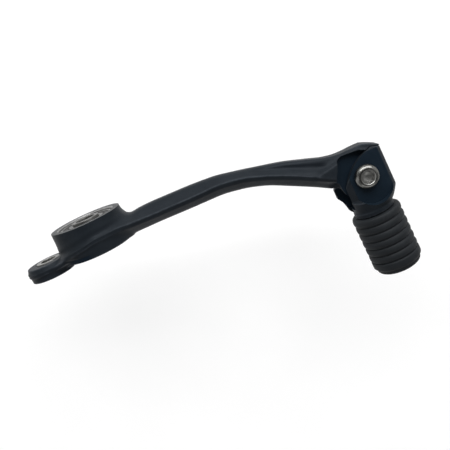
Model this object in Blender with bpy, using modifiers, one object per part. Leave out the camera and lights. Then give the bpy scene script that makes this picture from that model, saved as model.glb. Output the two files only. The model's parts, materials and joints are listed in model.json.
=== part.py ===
"""Motorcycle gear shift lever with a spring-loaded folding toe piece.

The lever turns about Y on two deep-groove ball bearings at the origin.  Its
arm runs along +X to a knuckle, where the toe piece folds about Z.  The small
eye on the -X side takes the linkage rod.  +Y is the inboard side (towards the
engine), -Y the outboard side, where the foot works the rubber.
"""
import math

import bmesh
import bpy
from mathutils import Matrix, Vector

MM = 0.001
MERGE = 0.00001
GAP = 0.3 * MM              # clearance between pieces that touch or are pressed together
ROUND = 36                  # sides of the turned pieces
SMALL_ROUND = 24            # sides of the small turned pieces
FAR = 30 * MM               # how far a cutter runs past what it cuts

# ---------------------------------------------------------------- boss and pivot
BOSS_FACE_Y = 10.0 * MM     # inboard face of the boss
BOSS_BACK_Y = -4.1 * MM     # outboard face of the boss
BOSS_RADIUS = 15.65 * MM
BOSS_PARTING_RADIUS = 16.2 * MM
BOSS_PARTING_Y = 2.2 * MM
BORE_LIP_LENGTH = 0.9 * MM
BORE_LIP_RADIUS = 10.9 * MM

BEARING_BORE_RADIUS = 6.0 * MM       # 12 x 24 x 6 mm deep-groove bearing
BEARING_OUTER_RADIUS = 12.0 * MM
BEARING_WIDTH = 6.0 * MM
BALL_COUNT = 11
BALL_RADIUS = 1.5875 * MM
BALL_PITCH_RADIUS = 9.0 * MM
RACE_RADIUS = 1.72 * MM              # section radius of the grooves the balls run in
INNER_RING_SHOULDER = 7.85 * MM
OUTER_RING_SHOULDER = 10.15 * MM
SEAL_SEAT_RADIUS = 10.65 * MM
SEAL_SEAT_DEPTH = 0.8 * MM
SEAL_THICKNESS = 0.4 * MM
SEAL_RECESS = 0.15 * MM
SEAL_EDGE_GAP = 0.15 * MM            # room between a seal's edges and the rings
RING_CHAMFER = 0.3 * MM
CAGE_PLATE = (1.78 * MM, 2.12 * MM)  # distance of the cage's ring from the ball centres
CAGE_RADII = (8.15 * MM, 9.75 * MM)
CAGE_FINGER_WIDTH = 1.1 * MM
CAGE_FINGER_REACH = 1.2 * MM
CAGE_FINGER_INSET = 0.2 * MM         # how far a finger stays inside the cage's ring on each side
BORE_RADIUS = BEARING_OUTER_RADIUS + 0.2 * MM
BEARING_OUTBOARD_Y = BOSS_BACK_Y + BORE_LIP_LENGTH + GAP + BEARING_WIDTH / 2
BEARING_INBOARD_Y = BEARING_OUTBOARD_Y + BEARING_WIDTH + GAP
SLEEVE_RADIUS = 5.85 * MM
SLEEVE_BORE_RADIUS = 4.2 * MM        # takes an M8 shoulder screw
SLEEVE_PROUD = 0.4 * MM
SLEEVE_CHAMFER = 0.3 * MM
DRUM_CHAMFER = 0.4 * MM              # edges of the boss and the link eye

# ---------------------------------------------------------------- link eye
EYE_X = -22.1 * MM
EYE_FACE_Y = -0.1 * MM
EYE_BACK_Y = -6.4 * MM
EYE_RADIUS = 9.5 * MM
EYE_PARTING_RADIUS = 10.0 * MM
EYE_PARTING_Y = -3.4 * MM
EYE_BORE_RADIUS = 4.5 * MM
SPOTFACE_RADIUS = 5.5 * MM
SPOTFACE_DEPTH = 0.6 * MM
BUSH_FLANGE_RADIUS = 5.2 * MM
BUSH_FLANGE_THICKNESS = 0.8 * MM
BUSH_RADIUS = 4.2 * MM
BUSH_BORE_RADIUS = 3.3 * MM          # takes the M6 stud of the linkage rod
BUSH_LIFT = 0.2 * MM                 # room under the flange

# ---------------------------------------------------------------- arm
# Stations along the arm: x, inboard face y, its half height, ridge y, outboard
# edge y and half height at the ridge, all in millimetres.
ARM_STATIONS = [
    (4.0, 9.0, 4.0, 3.0, -4.0, 14.4),
    (12.0, 8.6, 3.6, 3.0, -4.0, 11.4),
    (15.0, 7.8, 3.2, 2.6, -4.0, 9.8),
    (16.6, 5.7, 2.9, 2.3, -4.0, 9.0),
    (19.0, 5.0, 2.6, 2.1, -3.95, 8.2),
    (23.0, 5.6, 2.4, 1.9, -3.9, 7.5),
    (30.0, 5.9, 2.2, 1.7, -3.8, 6.9),
    (44.0, 5.85, 2.2, 1.7, -3.85, 6.5),
    (56.0, 5.4, 2.2, 2.0, -3.75, 6.5),
    (66.0, 3.85, 2.2, 1.0, -4.85, 6.4),
    (76.0, 1.8, 2.3, -1.9, -7.5, 6.3),
    (86.0, -0.4, 2.6, -6.0, -12.0, 6.2),
    (96.0, -3.4, 2.9, -10.9, -16.9, 6.2),
    (104.0, -5.8, 3.2, -15.0, -20.9, 6.2),
    (110.0, -6.6, 3.6, -16.6, -22.2, 6.2),
    (122.4, -7.3, 3.9, -14.0, -20.0, 6.2),
    (127.3, -9.7, 3.9, -11.2, -12.6, 6.0),
]
WEB_STATIONS = [
    (-22.1, -0.6, 6.4, -2.4, -6.0, 9.0),
    (-16.0, -0.2, 7.4, -1.6, -5.4, 10.6),
    (-11.5, 0.6, 8.0, -0.6, -4.6, 11.2),
    (-4.0, 2.0, 9.0, 0.6, -4.0, 12.5),
]
RIDGE_LAND = 1.7 * MM                # flat strip on the outboard side of the ridge
RIDGE_DROP = 0.3 * MM
OUTBOARD_EDGE_SHARE = 0.16           # half height of the outboard edge, over the ridge's

# ---------------------------------------------------------------- fold joint
FOLD_X = 116.6 * MM
FOLD_Y = -19.4 * MM
TONGUE_RADIUS = 11.0 * MM
TONGUE_TOP = 2.3 * MM
TONGUE_BOTTOM = -3.2 * MM
KNUCKLE_HALF = 5.0 * MM               # half height of the knuckle before it is cut to the tongue
SWEEP_RADIUS_NEAR = 12.9 * MM        # room cut in the arm for the upper cheek
SWEEP_RADIUS_FAR = 15.6 * MM         # room cut in the arm for the lower cheek
# Wall of the recess over the tongue, in millimetres; its last, slanting stretch is the toe piece's stop.
RECESS_WALL = [(107.2, -8.7), (109.6, -7.85), (121.4, -7.85), (128.2, -10.75)]
WASHER_THICKNESS = 0.5 * MM
WASHER_GAP = 0.15 * MM
WASHER_NEAR_RADIUS = 5.7 * MM
WASHER_FAR_RADII = (6.8 * MM, 8.4 * MM)   # round the spring's pocket
CHEEK_INNER_TOP = TONGUE_TOP + WASHER_THICKNESS + 2 * WASHER_GAP
CHEEK_INNER_BOTTOM = TONGUE_BOTTOM - WASHER_THICKNESS - 2 * WASHER_GAP
CHEEK_OUTER_TOP = 5.7 * MM
CHEEK_OUTER_BOTTOM = -6.6 * MM
SCREW_RADIUS = 3.0 * MM
SCREW_HOLE_RADIUS = 3.3 * MM
SCREW_HEAD_RADIUS = 5.25 * MM
SCREW_HEAD_HEIGHT = 3.0 * MM
SCREW_SEAT_GAP = 0.2 * MM            # between a cheek and the screw's head or the nut
SCREW_SOCKET_RADIUS = 2.3 * MM
SCREW_SOCKET_DEPTH = 1.8 * MM
SCREW_POINT_DEPTH = 2.6 * MM         # depth of the socket's pointed floor
SCREW_TIP = 0.9 * MM                 # how far the thread stands out of the nut
FOLD_BUSH_RADIUS = 4.0 * MM
FOLD_BORE_RADIUS = 4.3 * MM
SPRING_POCKET_RADIUS = 6.3 * MM
SPRING_POCKET_TOP = 1.4 * MM
SPRING_WIRE_RADIUS = 0.5 * MM
SPRING_COIL_RADIUS = 5.2 * MM
SPRING_TURNS = 2.5
SPRING_TOP = 0.6 * MM
SPRING_BOTTOM = -2.4 * MM
SPRING_LEG_REACH = 8.6 * MM
SPRING_TANG_DEPTH = -5.9 * MM
NUT_HALF_FLATS = 5.0 * MM
NUT_THICKNESS = 3.4 * MM
NUT_CORNER_WIDTH = 0.6 * MM
NUT_CORNER_HEIGHT = 0.4 * MM

# ---------------------------------------------------------------- toe piece
TOE_SPLAY = math.radians(4.3)        # the peg points this far forward of the pivot's direction
BODY_OFFSET_X = 0.4 * MM
BODY_RADIUS = 10.7 * MM
PEG_OFFSET_X = -1.6 * MM
NECK_RADIUS = 8.6 * MM
COLLAR_RADIUS = 8.9 * MM
COLLAR_START = 13.8 * MM             # distances down the peg from the fold axis
COLLAR_END = 16.6 * MM
CORE_RADIUS = 6.6 * MM
CORE_END = 41.0 * MM
SLOT_ROOT = 12.0 * MM
PEG_SPACE_START = -15.0 * MM
FLAT_END_RADIUS = 9.3 * MM
FLAT_END_CENTRE = (0.45 * MM, -3.15 * MM)
CHEEK_ARC_CENTRE = (10.0 * MM, -11.45 * MM)
CHEEK_ARC_RADIUS = 21.9 * MM
CHEEK_FACET = ((6.81 * MM, 10.19 * MM), (8.86 * MM, 9.12 * MM))
CHEEK_PLAN_RIGHT = 16.0 * MM         # the plan runs past the body on this side
CHEEK_PLAN_FRONT = -20.0 * MM
# Plan of the spring's ear on the lower cheek, in millimetres from the fold axis.
EAR_OUTLINE = [
    (-4.0, 3.0), (-9.4, 1.4), (-13.4, -1.8), (-13.5, -6.1), (-11.9, -8.8),
    (-11.2, -11.2), (-10.9, -13.2), (-10.2, -14.2), (-8.5, -14.8), (-4.0, -13.4),
]
RUBBER_RADIUS = 11.0 * MM
RUBBER_GROOVE_RADIUS = 10.3 * MM
RUBBER_RIBS = 6
RUBBER_RIB_PITCH = 3.6 * MM
RUBBER_END = 44.7 * MM
RUBBER_WALL_GAP = 0.3 * MM


# ================================================================ helpers
def new_collection(name):
    collection = bpy.data.collections.new(name)
    bpy.context.scene.collection.children.link(collection)
    return collection


def make_material(name, colour, metallic, roughness):
    material = bpy.data.materials.new(name)
    material.use_nodes = True
    shader = material.node_tree.nodes["Principled BSDF"]
    shader.inputs["Base Color"].default_value = (*colour, 1.0)
    shader.inputs["Metallic"].default_value = metallic
    shader.inputs["Roughness"].default_value = roughness
    return material


def mesh_object(name, bm, collection, smooth=True):
    """Turn a bmesh into an object, with its faces pointing out."""
    bmesh.ops.recalc_face_normals(bm, faces=bm.faces)
    mesh = bpy.data.meshes.new(name)
    bm.to_mesh(mesh)
    bm.free()
    if smooth:
        mesh.shade_smooth()
        mesh.set_sharp_from_angle(angle=math.radians(30))
    obj = bpy.data.objects.new(name, mesh)
    collection.objects.link(obj)
    return obj


def extruded(name, outline, low, high, collection):
    """A flat outline in X and Y, made solid between two heights."""
    bm = bmesh.new()
    face = bm.faces.new([bm.verts.new((x, y, low)) for x, y in outline])
    grown = bmesh.ops.extrude_face_region(bm, geom=[face])
    raised = [item for item in grown["geom"] if isinstance(item, bmesh.types.BMVert)]
    bmesh.ops.translate(bm, verts=raised, vec=(0.0, 0.0, high - low))
    return mesh_object(name, bm, collection, smooth=False)


def lofted(name, rings, collection):
    """A skin over rings of equally many points, closed at both ends."""
    bm = bmesh.new()
    rows = [[bm.verts.new(point) for point in ring] for ring in rings]
    count = len(rows[0])
    for lower, upper in zip(rows, rows[1:]):
        for i in range(count):
            j = (i + 1) % count
            bm.faces.new((lower[i], lower[j], upper[j], upper[i]))
    bm.faces.new(rows[0])
    bm.faces.new(rows[-1])
    bmesh.ops.triangulate(bm, faces=bm.faces)    # the strips between unlike rings aren't flat
    return mesh_object(name, bm, collection)


def turned(name, profile, collection, closed=True, sides=ROUND):
    """Turn a profile of (radius, height) points about Z, outer side first, from the top down."""
    mesh = bpy.data.meshes.new(name)
    points = [(radius, 0.0, height) for radius, height in profile]
    edges = [(i, i + 1) for i in range(len(points) - 1)]
    if closed:
        edges.append((len(points) - 1, 0))
    mesh.from_pydata(points, edges, [])
    obj = bpy.data.objects.new(name, mesh)
    collection.objects.link(obj)
    screw = obj.modifiers.new("turn", "SCREW")
    screw.axis = "Z"
    screw.angle = 2 * math.pi
    screw.steps = sides
    screw.render_steps = sides
    screw.use_merge_vertices = True
    screw.merge_threshold = MERGE
    screw.use_smooth_shade = False
    return obj


def lay_along_y(obj, x=0.0, y=0.0):
    """Turn a piece made about Z so that its axis is Y, with its top inboard."""
    obj.rotation_euler = (-math.pi / 2, 0.0, 0.0)
    obj.location = (x, y, 0.0)
    return obj


def arc(centre, radius, start, end, steps):
    """Points on an arc, angles in degrees."""
    angles = [math.radians(start + (end - start) * i / steps) for i in range(steps + 1)]
    return [(centre[0] + radius * math.cos(a), centre[1] + radius * math.sin(a)) for a in angles]


def combine(target, tool, operation):
    """Boolean with a helper body, which is then only shown as a wire."""
    modifier = target.modifiers.new(operation.lower(), "BOOLEAN")
    modifier.operation = operation
    modifier.solver = "EXACT"
    modifier.object = tool
    tool.hide_render = True
    tool.display_type = "WIRE"


def finish(obj, material):
    obj.data.materials.clear()
    obj.data.materials.append(material)
    return obj


# ================================================================ bearings
def race_arc(start, end, steps=4):
    """The groove's section, about the ball's centre at the pitch radius."""
    return arc((BALL_PITCH_RADIUS, 0.0), RACE_RADIUS, start, end, steps)


def groove_angle(shoulder):
    return math.degrees(math.acos(abs(shoulder - BALL_PITCH_RADIUS) / RACE_RADIUS))


def build_outer_ring(name, y, parts):
    half = BEARING_WIDTH / 2
    reach = groove_angle(OUTER_RING_SHOULDER)
    seat = half - SEAL_SEAT_DEPTH
    profile = [
        (BEARING_OUTER_RADIUS - RING_CHAMFER, half),
        (BEARING_OUTER_RADIUS, half - RING_CHAMFER),
        (BEARING_OUTER_RADIUS, -half + RING_CHAMFER),
        (BEARING_OUTER_RADIUS - RING_CHAMFER, -half),
        (SEAL_SEAT_RADIUS, -half),
        (SEAL_SEAT_RADIUS, -seat),
        (OUTER_RING_SHOULDER, -seat),
    ]
    profile += race_arc(-reach, reach)
    profile += [(OUTER_RING_SHOULDER, seat), (SEAL_SEAT_RADIUS, seat), (SEAL_SEAT_RADIUS, half)]
    return lay_along_y(turned(name, profile, parts), y=y)


def build_inner_ring(name, y, parts):
    half = BEARING_WIDTH / 2
    reach = groove_angle(INNER_RING_SHOULDER)
    profile = [(INNER_RING_SHOULDER, half)]
    profile += race_arc(180 - reach, 180 + reach)
    profile += [
        (INNER_RING_SHOULDER, -half),
        (BEARING_BORE_RADIUS + RING_CHAMFER, -half),
        (BEARING_BORE_RADIUS, -half + RING_CHAMFER),
        (BEARING_BORE_RADIUS, half - RING_CHAMFER),
        (BEARING_BORE_RADIUS + RING_CHAMFER, half),
    ]
    return lay_along_y(turned(name, profile, parts), y=y)


def build_balls(prefix, y, material, parts):
    """One ball a node; they share a mesh and stand in a ring round the pivot."""
    bm = bmesh.new()
    bmesh.ops.create_icosphere(bm, subdivisions=2, radius=BALL_RADIUS)
    first = finish(mesh_object(f"{prefix}_ball_01", bm, parts), material)
    for i in range(BALL_COUNT):
        angle = 2 * math.pi * i / BALL_COUNT
        ball = first
        if i > 0:
            ball = bpy.data.objects.new(f"{prefix}_ball_{i + 1:02d}", first.data)
            parts.objects.link(ball)
        ball.location = (BALL_PITCH_RADIUS * math.cos(angle), y, -BALL_PITCH_RADIUS * math.sin(angle))


def build_cage(name, y, side, parts, helpers):
    """A crown cage: a ring beside the balls, with a finger between each two of them."""
    low, high = CAGE_PLATE
    inner, outer = CAGE_RADII
    cage = turned(name, [(outer, high), (outer, low), (inner, low), (inner, high)], parts)
    bm = bmesh.new()
    middle = (inner + outer) / 2
    reach = CAGE_FINGER_REACH + (low + high) / 2
    for i in range(BALL_COUNT):
        angle = 2 * math.pi * (i + 0.5) / BALL_COUNT
        place = Matrix.Rotation(angle, 4, "Z") @ Matrix.Translation(
            (middle, 0.0, (low + high) / 2 - reach / 2))
        size = Matrix.Diagonal((outer - inner - 2 * CAGE_FINGER_INSET, CAGE_FINGER_WIDTH, reach, 1.0))
        bmesh.ops.create_cube(bm, size=1.0, matrix=place @ size)
    fingers = mesh_object(name + "_fingers", bm, helpers, smooth=False)
    for piece in (cage, fingers):
        lay_along_y(piece, y=y)
        if side < 0:
            piece.rotation_euler.x = math.pi / 2
    combine(cage, fingers, "UNION")
    return cage


def build_seal(name, y, parts):
    inner = INNER_RING_SHOULDER + SEAL_EDGE_GAP
    outer = SEAL_SEAT_RADIUS - SEAL_EDGE_GAP
    half = SEAL_THICKNESS / 2
    profile = [(outer, half), (outer, -half), (inner, -half), (inner, half)]
    return lay_along_y(turned(name, profile, parts), y=y)


def build_bearing(prefix, y, cage_side, materials, parts, helpers):
    finish(build_outer_ring(prefix + "_outer_ring", y, parts), materials["bearing_steel"])
    finish(build_inner_ring(prefix + "_inner_ring", y, parts), materials["bearing_steel"])
    build_balls(prefix, y, materials["ball_steel"], parts)
    finish(build_cage(prefix + "_cage", y, cage_side, parts, helpers), materials["cage"])
    offset = BEARING_WIDTH / 2 - SEAL_RECESS - SEAL_THICKNESS / 2
    finish(build_seal(prefix + "_seal_inboard", y + offset, parts), materials["seal"])
    finish(build_seal(prefix + "_seal_outboard", y - offset, parts), materials["seal"])


def build_sleeve(parts):
    top = BOSS_FACE_Y + SLEEVE_PROUD
    bottom = BOSS_BACK_Y - SLEEVE_PROUD
    profile = [
        (SLEEVE_RADIUS - SLEEVE_CHAMFER, top),
        (SLEEVE_RADIUS, top - SLEEVE_CHAMFER),
        (SLEEVE_RADIUS, bottom + SLEEVE_CHAMFER),
        (SLEEVE_RADIUS - SLEEVE_CHAMFER, bottom),
        (SLEEVE_BORE_RADIUS, bottom),
        (SLEEVE_BORE_RADIUS, top),
    ]
    return lay_along_y(turned("pivot_sleeve", profile, parts, sides=SMALL_ROUND))


def build_link_bush(parts):
    seat = EYE_FACE_Y - SPOTFACE_DEPTH + BUSH_LIFT
    top = seat + BUSH_FLANGE_THICKNESS
    bottom = EYE_BACK_Y - BUSH_LIFT
    profile = [
        (BUSH_FLANGE_RADIUS, top),
        (BUSH_FLANGE_RADIUS, seat),
        (BUSH_RADIUS, seat),
        (BUSH_RADIUS, bottom),
        (BUSH_BORE_RADIUS, bottom),
        (BUSH_BORE_RADIUS, top),
    ]
    return lay_along_y(turned("link_eye_bush", profile, parts, sides=SMALL_ROUND), x=EYE_X)


# ================================================================ lever arm
def forged_section(station):
    """One ring of the arm: inboard face, ridge, land and outboard edge, mirrored in Z."""
    x, inboard, face_half, ridge, outboard, half = (value * MM for value in station)
    edge_half = half * OUTBOARD_EDGE_SHARE
    land = max(ridge - RIDGE_LAND, outboard + 0.4 * MM)
    upper = [(inboard, face_half), (ridge, half), (land, half - RIDGE_DROP), (outboard, edge_half)]
    lower = [(y, -z) for y, z in reversed(upper)]
    return [(x, y, z) for y, z in upper + lower]


def near_recess_outline():
    """Plan of the room above the tongue: the wall's inner line and the cheek's sweep."""
    sweep = arc((FOLD_X, FOLD_Y), SWEEP_RADIUS_NEAR, 215, 146, 10)
    wall = [(x * MM, y * MM) for x, y in RECESS_WALL]
    right, front = FOLD_X + FAR, FOLD_Y - FAR
    return sweep + wall + [(right, wall[-1][1]), (right, front), (sweep[0][0], front)]


def build_lever_arm(parts, helpers):
    arm = lofted("lever_arm", [forged_section(s) for s in ARM_STATIONS], parts)
    web = lofted("web", [forged_section(s) for s in WEB_STATIONS], helpers)

    chamfer = DRUM_CHAMFER
    boss = lay_along_y(turned("boss", [
        (0.0, BOSS_FACE_Y),
        (BOSS_RADIUS - chamfer, BOSS_FACE_Y),
        (BOSS_RADIUS, BOSS_FACE_Y - chamfer),
        (BOSS_PARTING_RADIUS, BOSS_PARTING_Y),
        (BOSS_RADIUS, BOSS_BACK_Y + chamfer),
        (BOSS_RADIUS - chamfer, BOSS_BACK_Y),
        (0.0, BOSS_BACK_Y),
    ], helpers, closed=False, sides=48))
    eye = lay_along_y(turned("eye", [
        (0.0, EYE_FACE_Y),
        (EYE_RADIUS - chamfer, EYE_FACE_Y),
        (EYE_RADIUS, EYE_FACE_Y - chamfer),
        (EYE_PARTING_RADIUS, EYE_PARTING_Y),
        (EYE_RADIUS, EYE_BACK_Y + chamfer),
        (EYE_RADIUS - chamfer, EYE_BACK_Y),
        (0.0, EYE_BACK_Y),
    ], helpers, closed=False), x=EYE_X)
    knuckle = extruded("knuckle", arc((FOLD_X, FOLD_Y), TONGUE_RADIUS, 5, 355, 35),
                       -KNUCKLE_HALF, KNUCKLE_HALF, helpers)
    combine(arm, knuckle, "UNION")

    fold_bore = turned("fold_bore", [
        (0.0, FAR),
        (FOLD_BORE_RADIUS, FAR),
        (FOLD_BORE_RADIUS, SPRING_POCKET_TOP),
        (SPRING_POCKET_RADIUS, SPRING_POCKET_TOP),
        (SPRING_POCKET_RADIUS, -FAR),
        (0.0, -FAR),
    ], helpers, closed=False, sides=SMALL_ROUND)
    fold_bore.location = (FOLD_X, FOLD_Y, 0.0)
    slot_half = SPRING_WIRE_RADIUS + GAP
    knuckle_cuts = [
        extruded("near_recess", near_recess_outline(), TONGUE_TOP, FAR, helpers),
        extruded("far_recess", arc((FOLD_X, FOLD_Y), SWEEP_RADIUS_FAR, 0, 350, 35),
                 -FAR, TONGUE_BOTTOM, helpers),
        fold_bore,
        extruded("spring_slot", [
            (FOLD_X - SPRING_LEG_REACH - GAP, FOLD_Y - slot_half),
            (FOLD_X - SPRING_COIL_RADIUS, FOLD_Y - slot_half),
            (FOLD_X - SPRING_COIL_RADIUS, FOLD_Y + slot_half),
            (FOLD_X - SPRING_LEG_REACH - GAP, FOLD_Y + slot_half),
        ], -FAR, SPRING_POCKET_TOP, helpers),
    ]
    for cutter in knuckle_cuts:
        combine(arm, cutter, "DIFFERENCE")

    for piece in (boss, web, eye):
        combine(arm, piece, "UNION")
    bores = [
        lay_along_y(turned("bearing_bore", [
            (0.0, FAR),
            (BORE_RADIUS, FAR),
            (BORE_RADIUS, BOSS_BACK_Y + BORE_LIP_LENGTH),
            (BORE_LIP_RADIUS, BOSS_BACK_Y + BORE_LIP_LENGTH),
            (BORE_LIP_RADIUS, -FAR),
            (0.0, -FAR),
        ], helpers, closed=False)),
        lay_along_y(turned("eye_bore", [
            (0.0, FAR),
            (SPOTFACE_RADIUS, FAR),
            (SPOTFACE_RADIUS, EYE_FACE_Y - SPOTFACE_DEPTH),
            (EYE_BORE_RADIUS, EYE_FACE_Y - SPOTFACE_DEPTH),
            (EYE_BORE_RADIUS, -FAR),
            (0.0, -FAR),
        ], helpers, closed=False, sides=SMALL_ROUND), x=EYE_X),
    ]
    for cutter in bores:
        combine(arm, cutter, "DIFFERENCE")
    return arm


# ================================================================ toe piece
def cheek_outline():
    """Plan of a cheek: the curved inboard-left edge, the facet that meets the stop, and the rest."""
    (ax, ay), (bx, by) = CHEEK_FACET
    end_x = CHEEK_PLAN_RIGHT
    end_y = by + (end_x - bx) * (by - ay) / (bx - ax)
    start = math.degrees(math.atan2(ay - CHEEK_ARC_CENTRE[1], ax - CHEEK_ARC_CENTRE[0]))
    outline = [(end_x, end_y)]
    outline += arc(CHEEK_ARC_CENTRE, CHEEK_ARC_RADIUS, start, 158, 14)
    outline += [(-FAR, -3.0 * MM), (-FAR, CHEEK_PLAN_FRONT), (end_x, CHEEK_PLAN_FRONT)]
    return outline


def body_ring(distance, centre_x, radius, sides=ROUND):
    """One ring of the toe piece's round body, at a distance down the peg."""
    angles = [2 * math.pi * i / sides for i in range(sides)]
    return [(centre_x + radius * math.cos(a), -distance, radius * math.sin(a)) for a in angles]


def build_toe_clevis(frame, parts, helpers):
    mix = (BODY_OFFSET_X + PEG_OFFSET_X) / 2
    body = lofted("toe_clevis", [
        body_ring(-12.0 * MM, BODY_OFFSET_X, BODY_RADIUS),
        body_ring(7.6 * MM, BODY_OFFSET_X, BODY_RADIUS),
        body_ring(9.9 * MM, 0.8 * BODY_OFFSET_X, 0.965 * BODY_RADIUS),
        body_ring(12.1 * MM, mix, (BODY_RADIUS + NECK_RADIUS) / 2),
        body_ring(COLLAR_START, PEG_OFFSET_X, NECK_RADIUS),
        body_ring(COLLAR_START + 0.5 * MM, PEG_OFFSET_X, COLLAR_RADIUS),
        body_ring(COLLAR_END, PEG_OFFSET_X, COLLAR_RADIUS),
        body_ring(COLLAR_END, PEG_OFFSET_X, CORE_RADIUS),
        body_ring(CORE_END - 1.0 * MM, PEG_OFFSET_X, CORE_RADIUS),
        body_ring(CORE_END, PEG_OFFSET_X, CORE_RADIUS - 1.0 * MM),
    ], parts)

    ear = extruded("ear", [(x * MM, y * MM) for x, y in EAR_OUTLINE],
                   CHEEK_OUTER_BOTTOM, CHEEK_INNER_BOTTOM, helpers)

    flat_end = arc(FLAT_END_CENTRE, FLAT_END_RADIUS, 180, 360, 24)
    flat_outline = flat_end + [(FAR, FLAT_END_CENTRE[1]), (FAR, FAR), (-FAR, FAR), (-FAR, FLAT_END_CENTRE[1])]
    keep = extruded("cheek_plan", cheek_outline(), -FAR, FAR, helpers)
    # The plan trims the inboard end only, so the peg's own space is added to what is kept.
    peg_space = extruded("peg_space", [
        (-FAR, PEG_SPACE_START), (FAR, PEG_SPACE_START), (FAR, -2 * FAR), (-FAR, -2 * FAR),
    ], -FAR, FAR, helpers)
    combine(keep, peg_space, "UNION")
    top_flat = extruded("top_flat", flat_outline, CHEEK_OUTER_TOP, FAR, helpers)
    bottom_flat = extruded("bottom_flat", flat_outline, -FAR, CHEEK_OUTER_BOTTOM, helpers)
    slot = extruded("slot", [
        (-FAR, -SLOT_ROOT), (FAR, -SLOT_ROOT), (FAR, FAR), (-FAR, FAR),
    ], CHEEK_INNER_BOTTOM, CHEEK_INNER_TOP, helpers)
    hole = turned("screw_hole", [
        (0.0, FAR), (SCREW_HOLE_RADIUS, FAR), (SCREW_HOLE_RADIUS, -FAR), (0.0, -FAR),
    ], helpers, closed=False, sides=SMALL_ROUND)
    tang_hole = turned("tang_hole", [
        (0.0, 0.0), (SPRING_WIRE_RADIUS + GAP, 0.0), (SPRING_WIRE_RADIUS + GAP, -FAR), (0.0, -FAR),
    ], helpers, closed=False, sides=12)
    tang_hole.location = (SPRING_COIL_RADIUS, 0.0, 0.0)

    for piece in (body, ear, keep, peg_space, top_flat, bottom_flat, slot, hole, tang_hole):
        piece.parent = frame
    combine(body, keep, "INTERSECT")
    combine(body, top_flat, "DIFFERENCE")
    combine(body, bottom_flat, "DIFFERENCE")
    combine(body, ear, "UNION")
    combine(body, slot, "DIFFERENCE")
    combine(body, hole, "DIFFERENCE")
    combine(body, tang_hole, "DIFFERENCE")
    return body


def build_toe_rubber(frame, parts):
    """The ribbed sleeve: rounded ribs, a plain end band and a closed rounded end."""
    start = COLLAR_END + GAP
    outer = []
    for rib in range(RUBBER_RIBS):
        crest = start + (rib + 0.5) * RUBBER_RIB_PITCH
        outer.append((RUBBER_GROOVE_RADIUS, crest - 0.5 * RUBBER_RIB_PITCH))
        outer.append((RUBBER_RADIUS, crest - 0.2 * RUBBER_RIB_PITCH))
        outer.append((RUBBER_RADIUS, crest + 0.2 * RUBBER_RIB_PITCH))
    band = start + RUBBER_RIBS * RUBBER_RIB_PITCH
    outer += [
        (RUBBER_GROOVE_RADIUS, band),
        (RUBBER_RADIUS, band + 0.9 * MM),
        (RUBBER_RADIUS, RUBBER_END - 3.0 * MM),
        (RUBBER_RADIUS - 1.0 * MM, RUBBER_END - 1.6 * MM),
        (RUBBER_RADIUS - 3.0 * MM, RUBBER_END - 0.4 * MM),
        (RUBBER_RADIUS - 6.0 * MM, RUBBER_END),
        (0.0, RUBBER_END),
    ]
    bore = CORE_RADIUS + RUBBER_WALL_GAP
    inner = [(0.0, CORE_END + RUBBER_WALL_GAP), (bore, CORE_END + RUBBER_WALL_GAP), (bore, start)]
    profile = [(radius, -distance) for radius, distance in inner + outer]
    rubber = turned("toe_rubber", profile, parts, closed=False)
    rubber.rotation_euler = (-math.pi / 2, 0.0, 0.0)
    rubber.location = (PEG_OFFSET_X, 0.0, 0.0)
    rubber.parent = frame
    return rubber


def build_fold_screw(frame, parts, helpers):
    seat = CHEEK_OUTER_TOP + SCREW_SEAT_GAP
    top = seat + SCREW_HEAD_HEIGHT
    tip = CHEEK_OUTER_BOTTOM - NUT_THICKNESS - SCREW_TIP
    profile = [
        (0.0, top),
        (3.2 * MM, top),
        (4.3 * MM, top - 0.5 * MM),
        (5.0 * MM, top - 1.4 * MM),
        (SCREW_HEAD_RADIUS, top - 2.3 * MM),
        (SCREW_HEAD_RADIUS, seat),
        (SCREW_RADIUS, seat),
        (SCREW_RADIUS, tip),
        (0.0, tip),
    ]
    screw = turned("fold_screw", profile, parts, closed=False, sides=SMALL_ROUND)
    socket = turned("socket", [
        (0.0, top + FAR), (SCREW_SOCKET_RADIUS, top + FAR), (SCREW_SOCKET_RADIUS, top - SCREW_SOCKET_DEPTH),
        (0.0, top - SCREW_POINT_DEPTH),
    ], helpers, closed=False, sides=6)
    socket.parent = frame
    screw.parent = frame
    combine(screw, socket, "DIFFERENCE")
    return screw


def build_fold_nut(frame, parts, helpers):
    top = CHEEK_OUTER_BOTTOM - SCREW_SEAT_GAP
    bottom = top - NUT_THICKNESS
    corner = NUT_HALF_FLATS / math.cos(math.pi / 6)
    profile = [
        (0.0, top),
        (corner - NUT_CORNER_WIDTH, top),
        (corner, top - NUT_CORNER_HEIGHT),
        (corner, bottom + NUT_CORNER_HEIGHT),
        (corner - NUT_CORNER_WIDTH, bottom),
        (0.0, bottom),
    ]
    nut = turned("fold_locknut", profile, parts, closed=False, sides=6)
    bore = turned("nut_bore", [
        (0.0, 0.0), (SCREW_HOLE_RADIUS, 0.0), (SCREW_HOLE_RADIUS, -FAR), (0.0, -FAR),
    ], helpers, closed=False, sides=SMALL_ROUND)
    bore.parent = frame
    nut.parent = frame
    combine(nut, bore, "DIFFERENCE")
    return nut


def build_ring(name, inner, outer, low, high, frame, parts):
    profile = [(outer, high), (outer, low), (inner, low), (inner, high)]
    ring = turned(name, profile, parts, sides=SMALL_ROUND)
    ring.parent = frame
    return ring


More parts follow.
